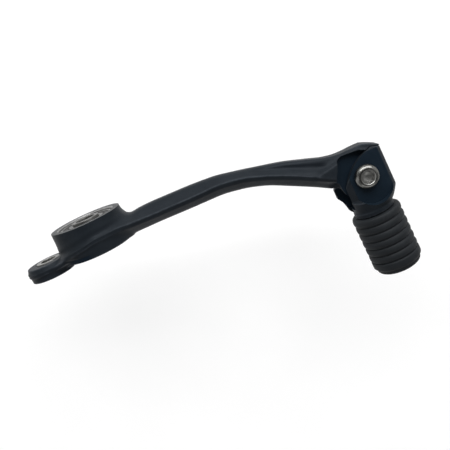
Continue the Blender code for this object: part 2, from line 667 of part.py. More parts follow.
def build_fold_spring(parts):
    """Torsion spring round the bush: a leg in the tongue's slot and a tang in the lower cheek."""
    tang_angle = TOE_SPLAY
    start_angle = tang_angle + 2 * math.pi * SPRING_TURNS
    steps = int(SPRING_TURNS * 18)
    points = [(-SPRING_LEG_REACH, 0.0, SPRING_TOP)]
    for i in range(steps + 1):
        share = i / steps
        angle = start_angle + (tang_angle - start_angle) * share
        height = SPRING_TOP + (SPRING_BOTTOM - SPRING_TOP) * share
        points.append((SPRING_COIL_RADIUS * math.cos(angle), SPRING_COIL_RADIUS * math.sin(angle),
                       height))
    tang_x = SPRING_COIL_RADIUS * math.cos(tang_angle)
    tang_y = SPRING_COIL_RADIUS * math.sin(tang_angle)
    points.append((tang_x, tang_y, SPRING_TANG_DEPTH))

    curve = bpy.data.curves.new("fold_spring", "CURVE")
    curve.dimensions = "3D"
    curve.bevel_depth = SPRING_WIRE_RADIUS
    curve.bevel_resolution = 2
    curve.use_fill_caps = True
    spline = curve.splines.new("POLY")
    spline.points.add(len(points) - 1)
    for point, place in zip(spline.points, points):
        point.co = (*place, 1.0)
    spring = bpy.data.objects.new("fold_spring", curve)
    spring.location = (FOLD_X, FOLD_Y, 0.0)
    parts.objects.link(spring)
    return spring


# ================================================================ assembly
def clear_scene():
    for obj in list(bpy.data.objects):
        bpy.data.objects.remove(obj, do_unlink=True)


def main():
    clear_scene()
    parts = new_collection("gear_shift_lever")
    helpers = new_collection("helpers")
    materials = {
        "forged": make_material("forged", (0.035, 0.038, 0.043), 0.35, 0.5),
        "toe": make_material("toe", (0.035, 0.038, 0.043), 0.35, 0.45),
        "rubber": make_material("rubber", (0.03, 0.033, 0.033), 0.0, 0.75),
        "stainless": make_material("stainless", (0.6, 0.6, 0.58), 1.0, 0.3),
        "bearing_steel": make_material("bearing_steel", (0.6, 0.6, 0.6), 1.0, 0.25),
        "ball_steel": make_material("ball_steel", (0.7, 0.7, 0.7), 1.0, 0.12),
        "cage": make_material("cage", (0.55, 0.5, 0.4), 0.0, 0.5),
        "seal": make_material("seal", (0.02, 0.02, 0.02), 0.0, 0.6),
        "zinc": make_material("zinc", (0.55, 0.56, 0.58), 1.0, 0.35),
        "bronze": make_material("bronze", (0.5, 0.36, 0.2), 1.0, 0.4),
        "spring_steel": make_material("spring_steel", (0.25, 0.25, 0.26), 1.0, 0.35),
    }

    toe_frame = bpy.data.objects.new("toe_frame", None)
    toe_frame.location = Vector((FOLD_X, FOLD_Y, 0.0))
    toe_frame.rotation_euler = (0.0, 0.0, TOE_SPLAY)
    parts.objects.link(toe_frame)

    finish(build_lever_arm(parts, helpers), materials["forged"])
    build_bearing("bearing_inboard", BEARING_INBOARD_Y, 1, materials, parts, helpers)
    build_bearing("bearing_outboard", BEARING_OUTBOARD_Y, -1, materials, parts, helpers)
    finish(build_sleeve(parts), materials["zinc"])
    finish(build_link_bush(parts), materials["zinc"])

    finish(build_toe_clevis(toe_frame, parts, helpers), materials["toe"])
    finish(build_toe_rubber(toe_frame, parts), materials["rubber"])
    finish(build_fold_screw(toe_frame, parts, helpers), materials["stainless"])
    finish(build_fold_nut(toe_frame, parts, helpers), materials["zinc"])
    finish(build_ring("fold_bush", SCREW_HOLE_RADIUS, FOLD_BUSH_RADIUS,
                      CHEEK_INNER_BOTTOM + WASHER_GAP, CHEEK_INNER_TOP - WASHER_GAP,
                      toe_frame, parts), materials["bronze"])
    finish(build_ring("fold_washer_near", FOLD_BORE_RADIUS, WASHER_NEAR_RADIUS, TONGUE_TOP + WASHER_GAP,
                      TONGUE_TOP + WASHER_GAP + WASHER_THICKNESS, toe_frame, parts),
           materials["zinc"])
    finish(build_ring("fold_washer_far", *WASHER_FAR_RADII,
                      TONGUE_BOTTOM - WASHER_GAP - WASHER_THICKNESS, TONGUE_BOTTOM - WASHER_GAP,
                      toe_frame, parts), materials["zinc"])
    finish(build_fold_spring(parts), materials["spring_steel"])


main()
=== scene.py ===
"""Looks of the gear shift lever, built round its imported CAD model.

Forged pieces are made as fields: distances to simple shapes, blended where the
metal flows together, with the surface drawn where the field is zero.  Machined
faces and holes are then cut in them.  Turned pieces are profiles.  Shapes are
worked out in millimetres and placed in metres.
"""
import json
import math

import bmesh
import bpy
import numpy as np
from mathutils import Matrix, Vector


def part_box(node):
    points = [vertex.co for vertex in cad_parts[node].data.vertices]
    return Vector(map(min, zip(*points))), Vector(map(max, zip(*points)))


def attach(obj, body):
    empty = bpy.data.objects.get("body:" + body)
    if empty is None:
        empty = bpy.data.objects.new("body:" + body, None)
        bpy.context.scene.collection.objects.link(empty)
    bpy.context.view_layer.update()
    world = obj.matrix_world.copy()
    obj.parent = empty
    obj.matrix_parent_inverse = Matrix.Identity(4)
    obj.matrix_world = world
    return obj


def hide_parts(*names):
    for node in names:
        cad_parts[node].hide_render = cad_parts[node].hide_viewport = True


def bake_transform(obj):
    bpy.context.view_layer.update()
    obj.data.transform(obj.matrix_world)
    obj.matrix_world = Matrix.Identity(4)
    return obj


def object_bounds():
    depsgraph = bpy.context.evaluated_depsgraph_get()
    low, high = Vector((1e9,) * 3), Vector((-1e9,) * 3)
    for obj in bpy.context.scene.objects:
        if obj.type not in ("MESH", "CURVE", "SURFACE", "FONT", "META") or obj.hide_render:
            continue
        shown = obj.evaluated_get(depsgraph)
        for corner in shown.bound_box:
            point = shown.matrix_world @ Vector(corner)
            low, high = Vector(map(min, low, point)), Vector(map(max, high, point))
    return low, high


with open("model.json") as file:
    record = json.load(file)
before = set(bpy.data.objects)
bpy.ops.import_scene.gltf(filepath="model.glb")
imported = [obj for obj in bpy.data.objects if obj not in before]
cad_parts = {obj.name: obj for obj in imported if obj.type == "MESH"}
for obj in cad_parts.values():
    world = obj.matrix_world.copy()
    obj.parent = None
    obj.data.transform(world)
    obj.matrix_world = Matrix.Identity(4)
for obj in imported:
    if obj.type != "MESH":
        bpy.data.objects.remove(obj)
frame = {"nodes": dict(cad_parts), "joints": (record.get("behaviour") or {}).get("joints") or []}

CAD_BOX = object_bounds()
MM = 0.001


# ---- places from the frame
def span(node, axis):
    """Lowest and highest coordinate of a CAD node on one axis, in millimetres."""
    low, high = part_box(node)
    return low[axis] / MM, high[axis] / MM


def middle(node, axis):
    return sum(span(node, axis)) / 2


JOINTS = {joint["name"]: joint for joint in frame["joints"]}
FOLD_X, FOLD_Y = (value / MM for value in JOINTS["toe_fold"]["pos_m"][:2])
EYE_X = middle("link_eye_bush", 0)
SLEEVE_BACK, SLEEVE_FACE = span("pivot_sleeve", 1)
SLEEVE_PROUD = 0.4
BOSS_FACE = SLEEVE_FACE - SLEEVE_PROUD / 2
BOSS_BACK = SLEEVE_BACK + SLEEVE_PROUD
TOE_SPLAY = math.radians(4.3)
FOLD_CENTRE = (FOLD_X, FOLD_Y, 0)
FOLD_PLACE = Matrix.Translation(FOLD_CENTRE)
TOE_PLACE = FOLD_PLACE @ Matrix.Rotation(TOE_SPLAY, 4, "Z")


def about_y(x=0.0, y=0.0):
    """Places a piece turned about Z so that its axis is Y, with its top inboard."""
    return Matrix.Translation((x, y, 0)) @ Matrix.Rotation(-math.pi / 2, 4, "X")


# ---- small maths
def smooth_max(a, b, width):
    """The larger of two fields, rounded over a width where they meet."""
    near = np.maximum(width - np.abs(a - b), 0.0) / width
    return np.maximum(a, b) + near * near * width * 0.25


def smooth_min(a, b, width):
    return -smooth_max(-a, -b, width)


def ease(value, low, high):
    """0 below low, 1 above high, with a smooth rise between."""
    share = np.clip((value - low) / (high - low), 0.0, 1.0)
    return share * share * (3.0 - 2.0 * share)


def through(table, column, x):
    """A smooth curve through one column of a table, by its first column."""
    xs = np.array([row[0] for row in table], float)
    ys = np.array([row[column] for row in table], float)
    run = np.diff(xs)
    rise = np.diff(ys) / run
    slope = np.zeros(len(xs))
    same_way = rise[:-1] * rise[1:] > 0
    both = np.where(same_way, rise[:-1] + rise[1:], 1.0)
    slope[1:-1] = np.where(same_way, 2 * rise[:-1] * rise[1:] / both, 0.0)
    slope[0], slope[-1] = rise[0], rise[-1]
    x = np.clip(x, xs[0], xs[-1])
    i = np.clip(np.searchsorted(xs, x) - 1, 0, len(run) - 1)
    t = (x - xs[i]) / run[i]
    return ((2 * t ** 3 - 3 * t ** 2 + 1) * ys[i] + (t ** 3 - 2 * t ** 2 + t) * run[i] * slope[i]
            + (3 * t ** 2 - 2 * t ** 3) * ys[i + 1] + (t ** 3 - t ** 2) * run[i] * slope[i + 1])


def arc(centre, radius, start, end, steps):
    """Points on an arc, angles in degrees."""
    angles = [math.radians(start + (end - start) * i / steps) for i in range(steps + 1)]
    return [(centre[0] + radius * math.cos(a), centre[1] + radius * math.sin(a)) for a in angles]


def rounded(points, radius, steps=5):
    """A closed outline with its corners rounded; radius is one value, or one for each point."""
    count = len(points)
    radii = radius if isinstance(radius, list) else [radius] * count
    result = []
    for i, point in enumerate(points):
        here = Vector(point)
        before = Vector(points[i - 1]) - here
        after = Vector(points[(i + 1) % count]) - here
        if radii[i] <= 0:
            result.append(tuple(here))
            continue
        half = before.angle(after) / 2
        reach = min(radii[i] / math.tan(half), 0.49 * before.length, 0.49 * after.length)
        start, end = here + before.normalized() * reach, here + after.normalized() * reach
        for step in range(steps + 1):
            t = step / steps
            bend = start * (1 - t) ** 2 + here * (2 * t * (1 - t)) + end * t ** 2
            result.append(tuple(bend))
    return result


def outline_distance(points, u, v):
    """Signed distance to a closed outline in a plane, negative inside."""
    distance = np.full(np.broadcast(u, v).shape, np.inf)
    inside = np.zeros(distance.shape, bool)
    for (ax, ay), (bx, by) in zip(points, points[1:] + points[:1]):
        ex, ey = bx - ax, by - ay
        t = np.clip(((u - ax) * ex + (v - ay) * ey) / (ex * ex + ey * ey), 0, 1)
        distance = np.minimum(distance, np.hypot(u - ax - t * ex, v - ay - t * ey))
        crosses = ((ay > v) != (by > v)) & (u < ax + (v - ay) * ex / (ey if ey else 1e-12))
        inside ^= crosses
    return np.where(inside, -distance, distance)


# ---- meshes
def add_object(name, data):
    """A new object in the scene."""
    thing = bpy.data.objects.new(name, data)
    bpy.context.scene.collection.objects.link(thing)
    return thing


def add_piece(name, mesh, material, place=None):
    """A finished mesh in millimetres becomes a piece in metres, in its place."""
    mesh.name = name
    mesh.transform(Matrix.Scale(MM, 4) @ (place or Matrix.Identity(4)))
    mesh.materials.append(material)
    return add_object(name, mesh)


def mesh_from(bm):
    """A mesh made of a bmesh, which is freed."""
    mesh = bpy.data.meshes.new("shape")
    bm.to_mesh(mesh)
    bm.free()
    return mesh


def evaluated_mesh(thing):
    """The mesh that an object's modifiers or its curve's thickness make."""
    graph = bpy.context.evaluated_depsgraph_get()
    return bpy.data.meshes.new_from_object(thing.evaluated_get(graph))


def sample(grid, places):
    """Values of a grid between its points, at places counted in cells."""
    base = np.clip(np.floor(places).astype(int), 0, np.array(grid.shape) - 2)
    part = places - base
    total = np.zeros(len(places))
    for corner in np.ndindex(2, 2, 2):
        weight = np.prod(np.where(corner, part, 1 - part), axis=1)
        i, j, k = (base + corner).T
        total += weight * grid[i, j, k]
    return total


def surface_of(field, low, step):
    """The closed surface where a field is zero: a point in each cell it crosses."""
    field = field.astype(np.float32)
    inside = field < 0
    full = np.array(field.shape) - 1
    corners = sum(inside[i:i + full[0], j:j + full[1], k:k + full[2]].astype(np.int8)
                  for i, j, k in np.ndindex(2, 2, 2))
    active = (corners > 0) & (corners < 8)
    cells = np.argwhere(active)
    number = np.full(active.shape, -1)
    number[active] = np.arange(len(cells))

    total = np.zeros((len(cells), 3))
    hits = np.zeros(len(cells))
    units = np.eye(3, dtype=int)
    for axis in range(3):
        one, two = units[(axis + 1) % 3], units[(axis + 2) % 3]
        for offset in (0 * one, one, two, one + two):
            start, end = cells + offset, cells + offset + units[axis]
            at_start = field[tuple(start.T)]
            at_end = field[tuple(end.T)]
            crossed = (at_start < 0) != (at_end < 0)
            share = np.where(crossed, at_start / np.where(crossed, at_start - at_end, 1), 0)
            total += (offset + share[:, None] * units[axis]) * crossed[:, None]
            hits += crossed
    places = cells + total / hits[:, None]

    slopes = np.gradient(field)
    for _ in range(2):  # pull each point onto the true surface
        value = sample(field, places)
        slope = np.stack([sample(part, places) for part in slopes], axis=1)
        size = np.maximum((slope ** 2).sum(axis=1), 1e-9)
        places = places - np.clip((value / size)[:, None] * slope, -0.5, 0.5)

    faces = []
    for axis in range(3):
        one, two = units[(axis + 1) % 3], units[(axis + 2) % 3]
        ahead = np.roll(inside, -1, axis=axis)
        edges = np.argwhere(inside != ahead)
        fits = (edges[:, axis] < full[axis])
        for other in (one, two):
            across = edges @ other
            fits &= (across > 0) & (across < full @ other)
        edges = edges[fits]
        quads = np.stack([number[tuple((edges - one - two).T)], number[tuple((edges - two).T)],
                          number[tuple(edges.T)], number[tuple((edges - one).T)]], axis=1)
        outward = inside[tuple(edges.T)]
        quads[~outward] = quads[~outward][:, ::-1]
        faces.append(quads)
    points = np.array(low) + places * step
    mesh = bpy.data.meshes.new("surface")
    mesh.from_pydata(points.tolist(), [], np.concatenate(faces).tolist())
    return mesh


def grid_axes(low, high, step):
    """Coordinates along X, Y and Z, shaped so that together they span the grid."""
    x, y, z = (np.arange(a, b + step, step) for a, b in zip(low, high))
    return x[:, None, None], y[None, :, None], z[None, None, :]


def revolve(profile, sides=96, closed=False, twist=None):
    """Turns a profile of (radius, height) points about Z; twist may change a radius."""
    bm = bmesh.new()
    rows = []
    for radius, height in profile:
        if radius < 1e-6:
            rows.append([bm.verts.new((0, 0, height))])
            continue
        row = []
        for i in range(sides):
            angle = 2 * math.pi * i / sides
            r = radius if twist is None else twist(radius, height, angle)
            row.append(bm.verts.new((r * math.cos(angle), r * math.sin(angle), height)))
        rows.append(row)
    pairs = list(zip(rows, rows[1:]))
    if closed:
        pairs.append((rows[-1], rows[0]))
    for first, second in pairs:
        for i in range(sides):
            j = (i + 1) % sides
            corners = [first[i % len(first)], first[j % len(first)],
                       second[j % len(second)], second[i % len(second)]]
            corners = list(dict.fromkeys(corners))
            if len(corners) > 2:
                bm.faces.new(corners)
    bmesh.ops.recalc_face_normals(bm, faces=bm.faces)
    return mesh_from(bm)


def cylinder(radius, low, high):
    """Profile of a plain cylinder, for revolve."""
    return [(0.0, high), (radius, high), (radius, low), (0.0, low)]


def extruded(outline, low, high):
    """A closed outline in X and Y, drawn up between two heights."""
    bm = bmesh.new()
    face = bm.faces.new([bm.verts.new((x, y, low)) for x, y in outline])
    grown = bmesh.ops.extrude_face_region(bm, geom=[face])
    raised = [item for item in grown["geom"] if isinstance(item, bmesh.types.BMVert)]
    bmesh.ops.translate(bm, verts=raised, vec=(0, 0, high - low))
    bmesh.ops.recalc_face_normals(bm, faces=bm.faces)
    return mesh_from(bm)


def cut(target, mesh, material, place=None, operation="DIFFERENCE"):
    """Cuts a body out of a piece; the faces it leaves take the cutter's material."""
    tool = add_piece("tool", mesh, material, place)
    modifier = target.modifiers.new("cut", "BOOLEAN")
    modifier.operation = operation
    modifier.solver = "MANIFOLD"
    modifier.material_mode = "TRANSFER"
    modifier.object = tool
    result = evaluated_mesh(target)
    target.modifiers.clear()
    old = target.data
    target.data = result
    bpy.data.meshes.remove(old)
    bpy.data.objects.remove(tool)


def smooth_shade(piece, angle=35):
    """Smooth faces, with sharp edges where they meet at more than an angle."""
    piece.data.shade_smooth()
    piece.data.set_sharp_from_angle(angle=math.radians(angle))


def stand_in(piece, body, node):
    """The piece moves with a body, in the place of one CAD node."""
    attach(piece, body)
    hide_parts(node)


def show(name, mesh, material, body, node, place=None, angle=35):
    """A fine piece, from its mesh, in the place of one CAD node."""
    piece = add_piece(name, mesh, material, place)
    smooth_shade(piece, angle)
    stand_in(piece, body, node)
    return piece


def show_ring(node, profile, material, body, place, sides=96):
    """A ring turned from its closed profile, in the place of one CAD node."""
    show(node + "_fine", revolve(profile, sides, closed=True), material, body, node, place)


def places_of(piece):
    """The points of a piece, in millimetres."""
    places = np.empty(len(piece.data.vertices) * 3)
    piece.data.vertices.foreach_get("co", places)
    return places.reshape(-1, 3) / MM


def store(piece, name, values):
    """Keeps a number for each point, which a material can read."""
    layer = piece.data.attributes.new(name, "FLOAT", "POINT")
    layer.data.foreach_set("value", values.astype(np.float32))


def mark_wear_and_highlight(piece, field, low, step, place=None):
    """Stores how sharply the forging bends at each point, which is where a coating wears and where a painted
    highlight is laid on the edges.
    """
    for axis in range(3):  # softened a little, the field bends only at real edges
        field = (np.roll(field, 1, axis) + 2 * field + np.roll(field, -1, axis)) / 4
    bends = (np.roll(field, 1, axis) + np.roll(field, -1, axis) - 2 * field for axis in range(3))
    back = np.array((place or Matrix.Identity(4)).inverted())
    points = places_of(piece) @ back[:3, :3].T + back[:3, 3]
    wear_and_highlight = sample(sum(bends) / step ** 2, (points - np.array(low)) / step)
    store(piece, "wear_and_highlight", np.clip(wear_and_highlight, -3, 3))


# ---- materials
class Nodes:
    """Short words for building a material's node tree."""

    def __init__(self, name):
        self.material = bpy.data.materials.new(name)
        self.material.use_nodes = True
        self.tree = self.material.node_tree
        self.shader = self.tree.nodes["Principled BSDF"]
        self.place = self.add("ShaderNodeTexCoord").outputs["Object"]

    def add(self, kind, **values):
        node = self.tree.nodes.new(kind)
        for key, value in values.items():
            setattr(node, key, value)
        return node

    def link(self, source, target):
        """Gives a socket a number, a colour, or what another socket puts out."""
        if isinstance(source, (int, float)):
            target.default_value = source
        elif isinstance(source, tuple):
            target.default_value = (*source, 1.0)
        else:
            self.tree.links.new(source, target)

    def noise(self, size_mm, detail=3.0, roughness=0.55, place=None):
        node = self.add("ShaderNodeTexNoise")
        self.link(place or self.place, node.inputs["Vector"])
        node.inputs["Scale"].default_value = 1000.0 / size_mm
        node.inputs["Detail"].default_value = detail
        node.inputs["Roughness"].default_value = roughness
        return node.outputs["Fac"]

    def cells(self, size_mm):
        node = self.add("ShaderNodeTexVoronoi")
        self.link(self.place, node.inputs["Vector"])
        node.inputs["Scale"].default_value = 1000.0 / size_mm
        return node.outputs["Distance"]

    def scaled(self, scale, rotation=(0, 0, 0)):
        node = self.add("ShaderNodeMapping")
        self.link(self.place, node.inputs["Vector"])
        node.inputs["Scale"].default_value = scale
        node.inputs["Rotation"].default_value = rotation
        return node.outputs["Vector"]

    def ramp(self, value, low, high, to_low=0.0, to_high=1.0):
        node = self.add("ShaderNodeMapRange")
        for slot, number in (("Value", value), ("From Min", low), ("From Max", high),
                             ("To Min", to_low), ("To Max", to_high)):
            self.link(number, node.inputs[slot])
        return node.outputs["Result"]

    def maths(self, operation, a, b=0.0):
        node = self.add("ShaderNodeMath", operation=operation)
        self.link(a, node.inputs[0])
        self.link(b, node.inputs[1])
        return node.outputs["Value"]

    def mix(self, share, a, b):
        node = self.add("ShaderNodeMix", data_type="RGBA")
        self.link(share, node.inputs["Factor"])
        self.link(a, node.inputs["A"])
        self.link(b, node.inputs["B"])
        return node.outputs["Result"]

    def bump(self, height, depth_mm, strength=1.0, under=None):
        node = self.add("ShaderNodeBump")
        node.inputs["Strength"].default_value = strength
        node.inputs["Distance"].default_value = depth_mm * MM
        self.link(height, node.inputs["Height"])
        if under is not None:
            self.link(under, node.inputs["Normal"])
        return node.outputs["Normal"]

    def rings(self, centre_mm, pitch_mm, axis="Y"):
        """Fine turned grooves round an axis."""
        shift = self.add("ShaderNodeVectorMath", operation="SUBTRACT")
        self.link(self.place, shift.inputs[0])
        shift.inputs[1].default_value = tuple(value * MM for value in centre_mm)
        parts = self.add("ShaderNodeSeparateXYZ")
        self.link(shift.outputs["Vector"], parts.inputs["Vector"])
        across = [parts.outputs[other] for other in "XYZ" if other != axis]
        squares = [self.maths("MULTIPLY", part, part) for part in across]
        radius = self.maths("SQRT", self.maths("ADD", *squares))
        turns = self.maths("MULTIPLY", radius, 2 * math.pi * 1000.0 / pitch_mm)
        wobble = self.maths("MULTIPLY", self.noise(1.5), 4.0)
        return self.ramp(self.maths("SINE", self.maths("ADD", turns, wobble)), -1.0, 1.0)

    def set(self, **values):
        for key, value in values.items():
            self.link(value, self.shader.inputs[key.replace("_", " ")])
        return self.material


def forged_coat(name, dark, light, worn_and_highlit, rough):
    """Satin coating over a blasted forging: fine grain, soft mottling, thin and lighter on the ridges,
    partly as wear and partly as a painted highlight.
    """
    n = Nodes(name)
    grain = n.noise(0.35, detail=4)
    mottle = n.noise(7.0, detail=4)
    pits = n.cells(0.9)
    colour = n.mix(n.ramp(mottle, 0.3, 0.7), dark, light)
    colour = n.mix(n.ramp(grain, 0.35, 0.7, 0.0, 0.35), colour, light)
    # Sharp convex edges turn lighter: partly worn coating, partly painted highlight.
    wear_and_highlight = n.add("ShaderNodeAttribute", attribute_name="wear_and_highlight").outputs["Fac"]
    rubbed_and_highlit = n.maths("MULTIPLY", n.ramp(wear_and_highlight, 0.45, 1.4), n.ramp(n.noise(2.2), 0.3, 0.6, 0.35, 1.0))
    colour = n.mix(rubbed_and_highlit, colour, worn_and_highlit)
    skimmed = n.add("ShaderNodeAttribute", attribute_name="skim").outputs["Fac"]
    colour = n.mix(skimmed, colour, MILLED_DARK)
    skin = n.bump(grain, 0.05, 0.5)
    skin = n.bump(pits, 0.06, 0.35, under=skin)
    skin = n.bump(mottle, 0.5, 0.3, under=skin)
    return n.set(Base_Color=colour, Normal=skin,
                 Specular_IOR_Level=n.ramp(skimmed, 0.0, 1.0, 0.085, 0.06),
                 Specular_Tint=(0.84, 0.91, 1.0),
                 Roughness=n.ramp(grain, 0.3, 0.7, rough - 0.07, rough + 0.1))


def machined_coat(name, dark, light, rough, gloss=0.25, centre=None):
    """The same coating over a machined face: smoother, with marks, round the centre if it was turned."""
    n = Nodes(name)
    if centre is None:
        marks = n.noise(0.4, detail=2, place=n.scaled((1.0, 0.08, 1.0), (0, 0, 0.5)))
    else:
        marks = n.rings(centre, 0.3)
    mottle = n.noise(5.0, detail=3)
    colour = n.mix(n.ramp(mottle, 0.3, 0.7), dark, light)
    skin = n.bump(marks, 0.02, 0.5)
    skin = n.bump(n.noise(0.25), 0.015, 0.4, under=skin)
    return n.set(Base_Color=colour, Specular_IOR_Level=gloss, Normal=skin,
                 Specular_Tint=(0.75, 0.88, 1.0),
                 Roughness=n.ramp(marks, 0.3, 0.7, rough - 0.05, rough + 0.07))


def turned_metal(name, colour, tint, rough, centre=(0, 0, 0), axis="Y", pitch=0.22, depth=0.01):
    """Bare metal with turning marks round an axis."""
    n = Nodes(name)
    marks = n.rings(centre, pitch, axis)
    stain = n.noise(3.0, detail=4)
    skin = n.bump(marks, depth, 0.6)
    skin = n.bump(n.noise(0.3), 0.01, 0.3, under=skin)
    return n.set(Base_Color=n.mix(n.ramp(stain, 0.35, 0.7), colour, tint), Metallic=1.0, Normal=skin,
                 Roughness=n.ramp(n.maths("ADD", marks, stain), 0.3, 1.6, rough - 0.06, rough + 0.1))


def plated(name, colour, tint, rough):
    """Zinc or oxide finish: cloudy, with a fine crystalline grain."""
    n = Nodes(name)
    cloud = n.noise(2.5, detail=4)
    grain = n.cells(0.35)
    skin = n.bump(grain, 0.012, 0.4)
    return n.set(Base_Color=n.mix(n.ramp(cloud, 0.35, 0.65), colour, tint), Metallic=1.0, Normal=skin,
                 Roughness=n.ramp(cloud, 0.3, 0.7, rough - 0.06, rough + 0.1))


def moulded(name, dark, light, rough, grain_mm=0.4, depth=0.03, dust=0.0):
    """Rubber or plastic from a mould: fine grain, cloudy, under a thin film of dust."""
    n = Nodes(name)
    grain = n.noise(grain_mm, detail=4, roughness=0.65)
    cloud = n.noise(6.0, detail=4)
    colour = n.mix(n.ramp(cloud, 0.3, 0.7), dark, light)
    if dust:
        colour = n.mix(dust, colour, (0.11, 0.11, 0.105))
    skin = n.bump(grain, depth, 0.5)
    skin = n.bump(n.cells(1.4), 0.04, 0.25, under=skin)
    return n.set(Base_Color=colour, Specular_IOR_Level=0.15, Normal=skin,
                 Roughness=n.ramp(grain, 0.3, 0.7, rough - 0.08, rough + 0.08))


MILLED_DARK, MILLED_LIGHT = (0.0052, 0.0100, 0.0165), (0.0068, 0.0125, 0.0195)
# The third coat colour is for the edges: partly worn coating, partly painted highlight.
COAT_DARK, COAT_LIGHT, COAT_WORN_AND_HIGHLIT = (0.0083, 0.0107, 0.0138), (0.0122, 0.0154, 0.0192), (0.03, 0.035, 0.042)
FACING_DARK, FACING_LIGHT = (0.012, 0.014, 0.0155), (0.018, 0.02, 0.0215)
FORGED = forged_coat("forged_coat", COAT_DARK, COAT_LIGHT, COAT_WORN_AND_HIGHLIT, 0.46)
MILLED = machined_coat("milled_coat", MILLED_DARK, MILLED_LIGHT, 0.36)
BOSS_FACING = machined_coat("boss_facing", FACING_DARK, FACING_LIGHT, 0.4, 0.09, (0, 0, 0))
EYE_FACING = machined_coat("eye_facing", FACING_DARK, FACING_LIGHT, 0.4, 0.09, (EYE_X, 0, 0))
BORE_SKIN = turned_metal("bore_skin", (0.3, 0.3, 0.3), (0.22, 0.22, 0.22), 0.42)
GROUND = {"pitch": 0.15, "depth": 0.006}
RING_STEEL = turned_metal("ring_steel", (0.22, 0.22, 0.215), (0.15, 0.15, 0.147), 0.34, **GROUND)
# A darker copy of the ring steel, used for the inner rings.
RING_STEEL_DARKER = turned_metal("ring_steel_darker", (0.07, 0.07, 0.068), (0.045, 0.045, 0.045), 0.36, **GROUND)
SLEEVE_STEEL = turned_metal("sleeve_steel", (0.15, 0.15, 0.146), (0.1, 0.1, 0.097), 0.38, **GROUND)
SCREW_STEEL = turned_metal("screw_steel", (0.19, 0.19, 0.18), (0.14, 0.14, 0.133), 0.25,
                           FOLD_CENTRE, "Z", pitch=0.2)
# The same steel as the screw's head but lighter: painted highlight in the recess.
SOCKET_HIGHLIGHT_STEEL = turned_metal("socket_highlight_steel", (0.36, 0.36, 0.345), (0.27, 0.27, 0.26), 0.36,
                            FOLD_CENTRE, "Z", pitch=0.2)
BALL_STEEL = plated("ball_steel", (0.75, 0.75, 0.75), (0.7, 0.7, 0.71), 0.12)
ZINC = plated("zinc", (0.42, 0.44, 0.45), (0.34, 0.35, 0.34), 0.33)
ZINC_DULL = plated("zinc_dull", (0.26, 0.26, 0.25), (0.18, 0.18, 0.174), 0.38)
BRONZE = plated("bronze", (0.45, 0.3, 0.16), (0.36, 0.24, 0.13), 0.42)
SPRING_STEEL = plated("spring_steel", (0.2, 0.2, 0.21), (0.13, 0.13, 0.14), 0.36)
RUBBER = moulded("toe_rubber_skin", (0.0066, 0.0086, 0.0108), (0.0097, 0.012, 0.0148), 0.62, dust=0.0286)
SEAL_RUBBER = moulded("seal_rubber", (0.012, 0.012, 0.012), (0.02, 0.02, 0.02), 0.5, 0.3, 0.015)
CAGE_NYLON = moulded("cage_nylon", (0.36, 0.31, 0.22), (0.42, 0.37, 0.28), 0.45, 0.5, 0.01)
INSERT_NYLON = moulded("insert_nylon", (0.05, 0.1, 0.2), (0.07, 0.13, 0.25), 0.4, 0.4, 0.01)


# ---- lever arm
# Stations along the forging: x, inboard face y, its half height, ridge y,
# outboard edge y and half height at the ridge.
ARM = [
    (4.0, 9.0, 4.0, 3.0, -4.0, 14.4),
    (12.0, 8.6, 3.6, 3.0, -4.0, 11.4),
    (15.0, 7.6, 3.2, 2.6, -4.0, 9.8),
    (17.0, 5.7, 2.9, 2.3, -4.0, 8.9),
    (19.0, 5.1, 2.6, 2.1, -3.95, 8.2),
    (23.0, 5.6, 2.4, 1.9, -3.9, 7.5),
    (30.0, 5.9, 2.2, 1.7, -3.8, 6.9),
    (44.0, 5.85, 2.2, 1.7, -3.85, 6.5),
    (56.0, 5.4, 2.2, 2.0, -3.75, 6.5),
    (66.0, 3.85, 2.2, 1.0, -4.85, 6.4),
    (76.0, 1.8, 2.3, -1.9, -7.5, 6.3),
    (86.0, -0.4, 2.6, -6.0, -12.0, 6.2),
    (96.0, -3.4, 2.9, -10.9, -16.9, 6.2),
    (104.0, -5.8, 3.2, -15.0, -20.9, 6.2),
    (110.0, -6.6, 3.6, -16.6, -22.2, 6.2),
    (119.6, -6.3, 3.9, -14.8, -20.7, 6.2),
    (121.6, -6.85, 3.9, -14.2, -20.2, 6.2),
    (127.3, -9.35, 3.9, -11.2, -12.6, 6.0),
]
WEB = [
    (-22.1, -0.6, 6.4, -2.4, -6.0, 9.0),
    (-16.0, -0.2, 7.4, -1.6, -5.4, 10.6),
    (-11.5, 0.6, 8.0, -0.6, -4.6, 11.2),
    (-4.0, 2.0, 9.0, 0.6, -4.0, 12.5),
]
# Where the dies met, round the eye and the boss: x and y.
PARTING = [(-32.0, -2.3), (-22.0, -2.0), (-16.0, -1.0), (-9.0, 0.8), (-2.0, 2.1), (4.0, 3.0), (12.0, 2.8),
           (16.2, 2.4)]
LAND, LAND_DROP, EDGE_SHARE = 1.7, 0.3, 0.16
ARM_END = 126.7
BOSS_RADIUS, EYE_RADIUS = 16.2, 10.0
SKIM_SHIFT, SKIM_RADIUS, SKIM_TOP = 0.6, 15.75, -1.9
EYE_FACE, EYE_BACK = -0.1, -6.4
TONGUE_RADIUS, TONGUE_TOP, TONGUE_BOTTOM = 11.0, 2.3, -3.2
KNUCKLE_HALF = 5.0
BORE_RADIUS, LIP_RADIUS, LIP_LENGTH = 12.2, 10.9, 0.9
SWEEP_NEAR, SWEEP_FAR = 12.9, 15.6
RIM_HEIGHT, RIM_WIDTH = 0.16, 0.4
HOLLOW, HOLLOW_FROM, HOLLOW_FULL = 1.5, 98.0, 105.0
# The shallow pocket in the inboard bevel: along X, and across it as a share from the face to the ridge.
POCKET_START, POCKET_FULL, POCKET_END, POCKET_DEPTH = 70.0, 90.0, 104.5, 0.7
POCKET_TOP, POCKET_LOW = 0.2, 0.86
# The flat pad that the recess is cut into.
PAD = [(98.5, -11.9), (107.5, -9.6), (117.0, -9.4), (117.0, -17.0), (108.0, -16.2), (104.0, -14.8)]
PAD_HALF = 6.0
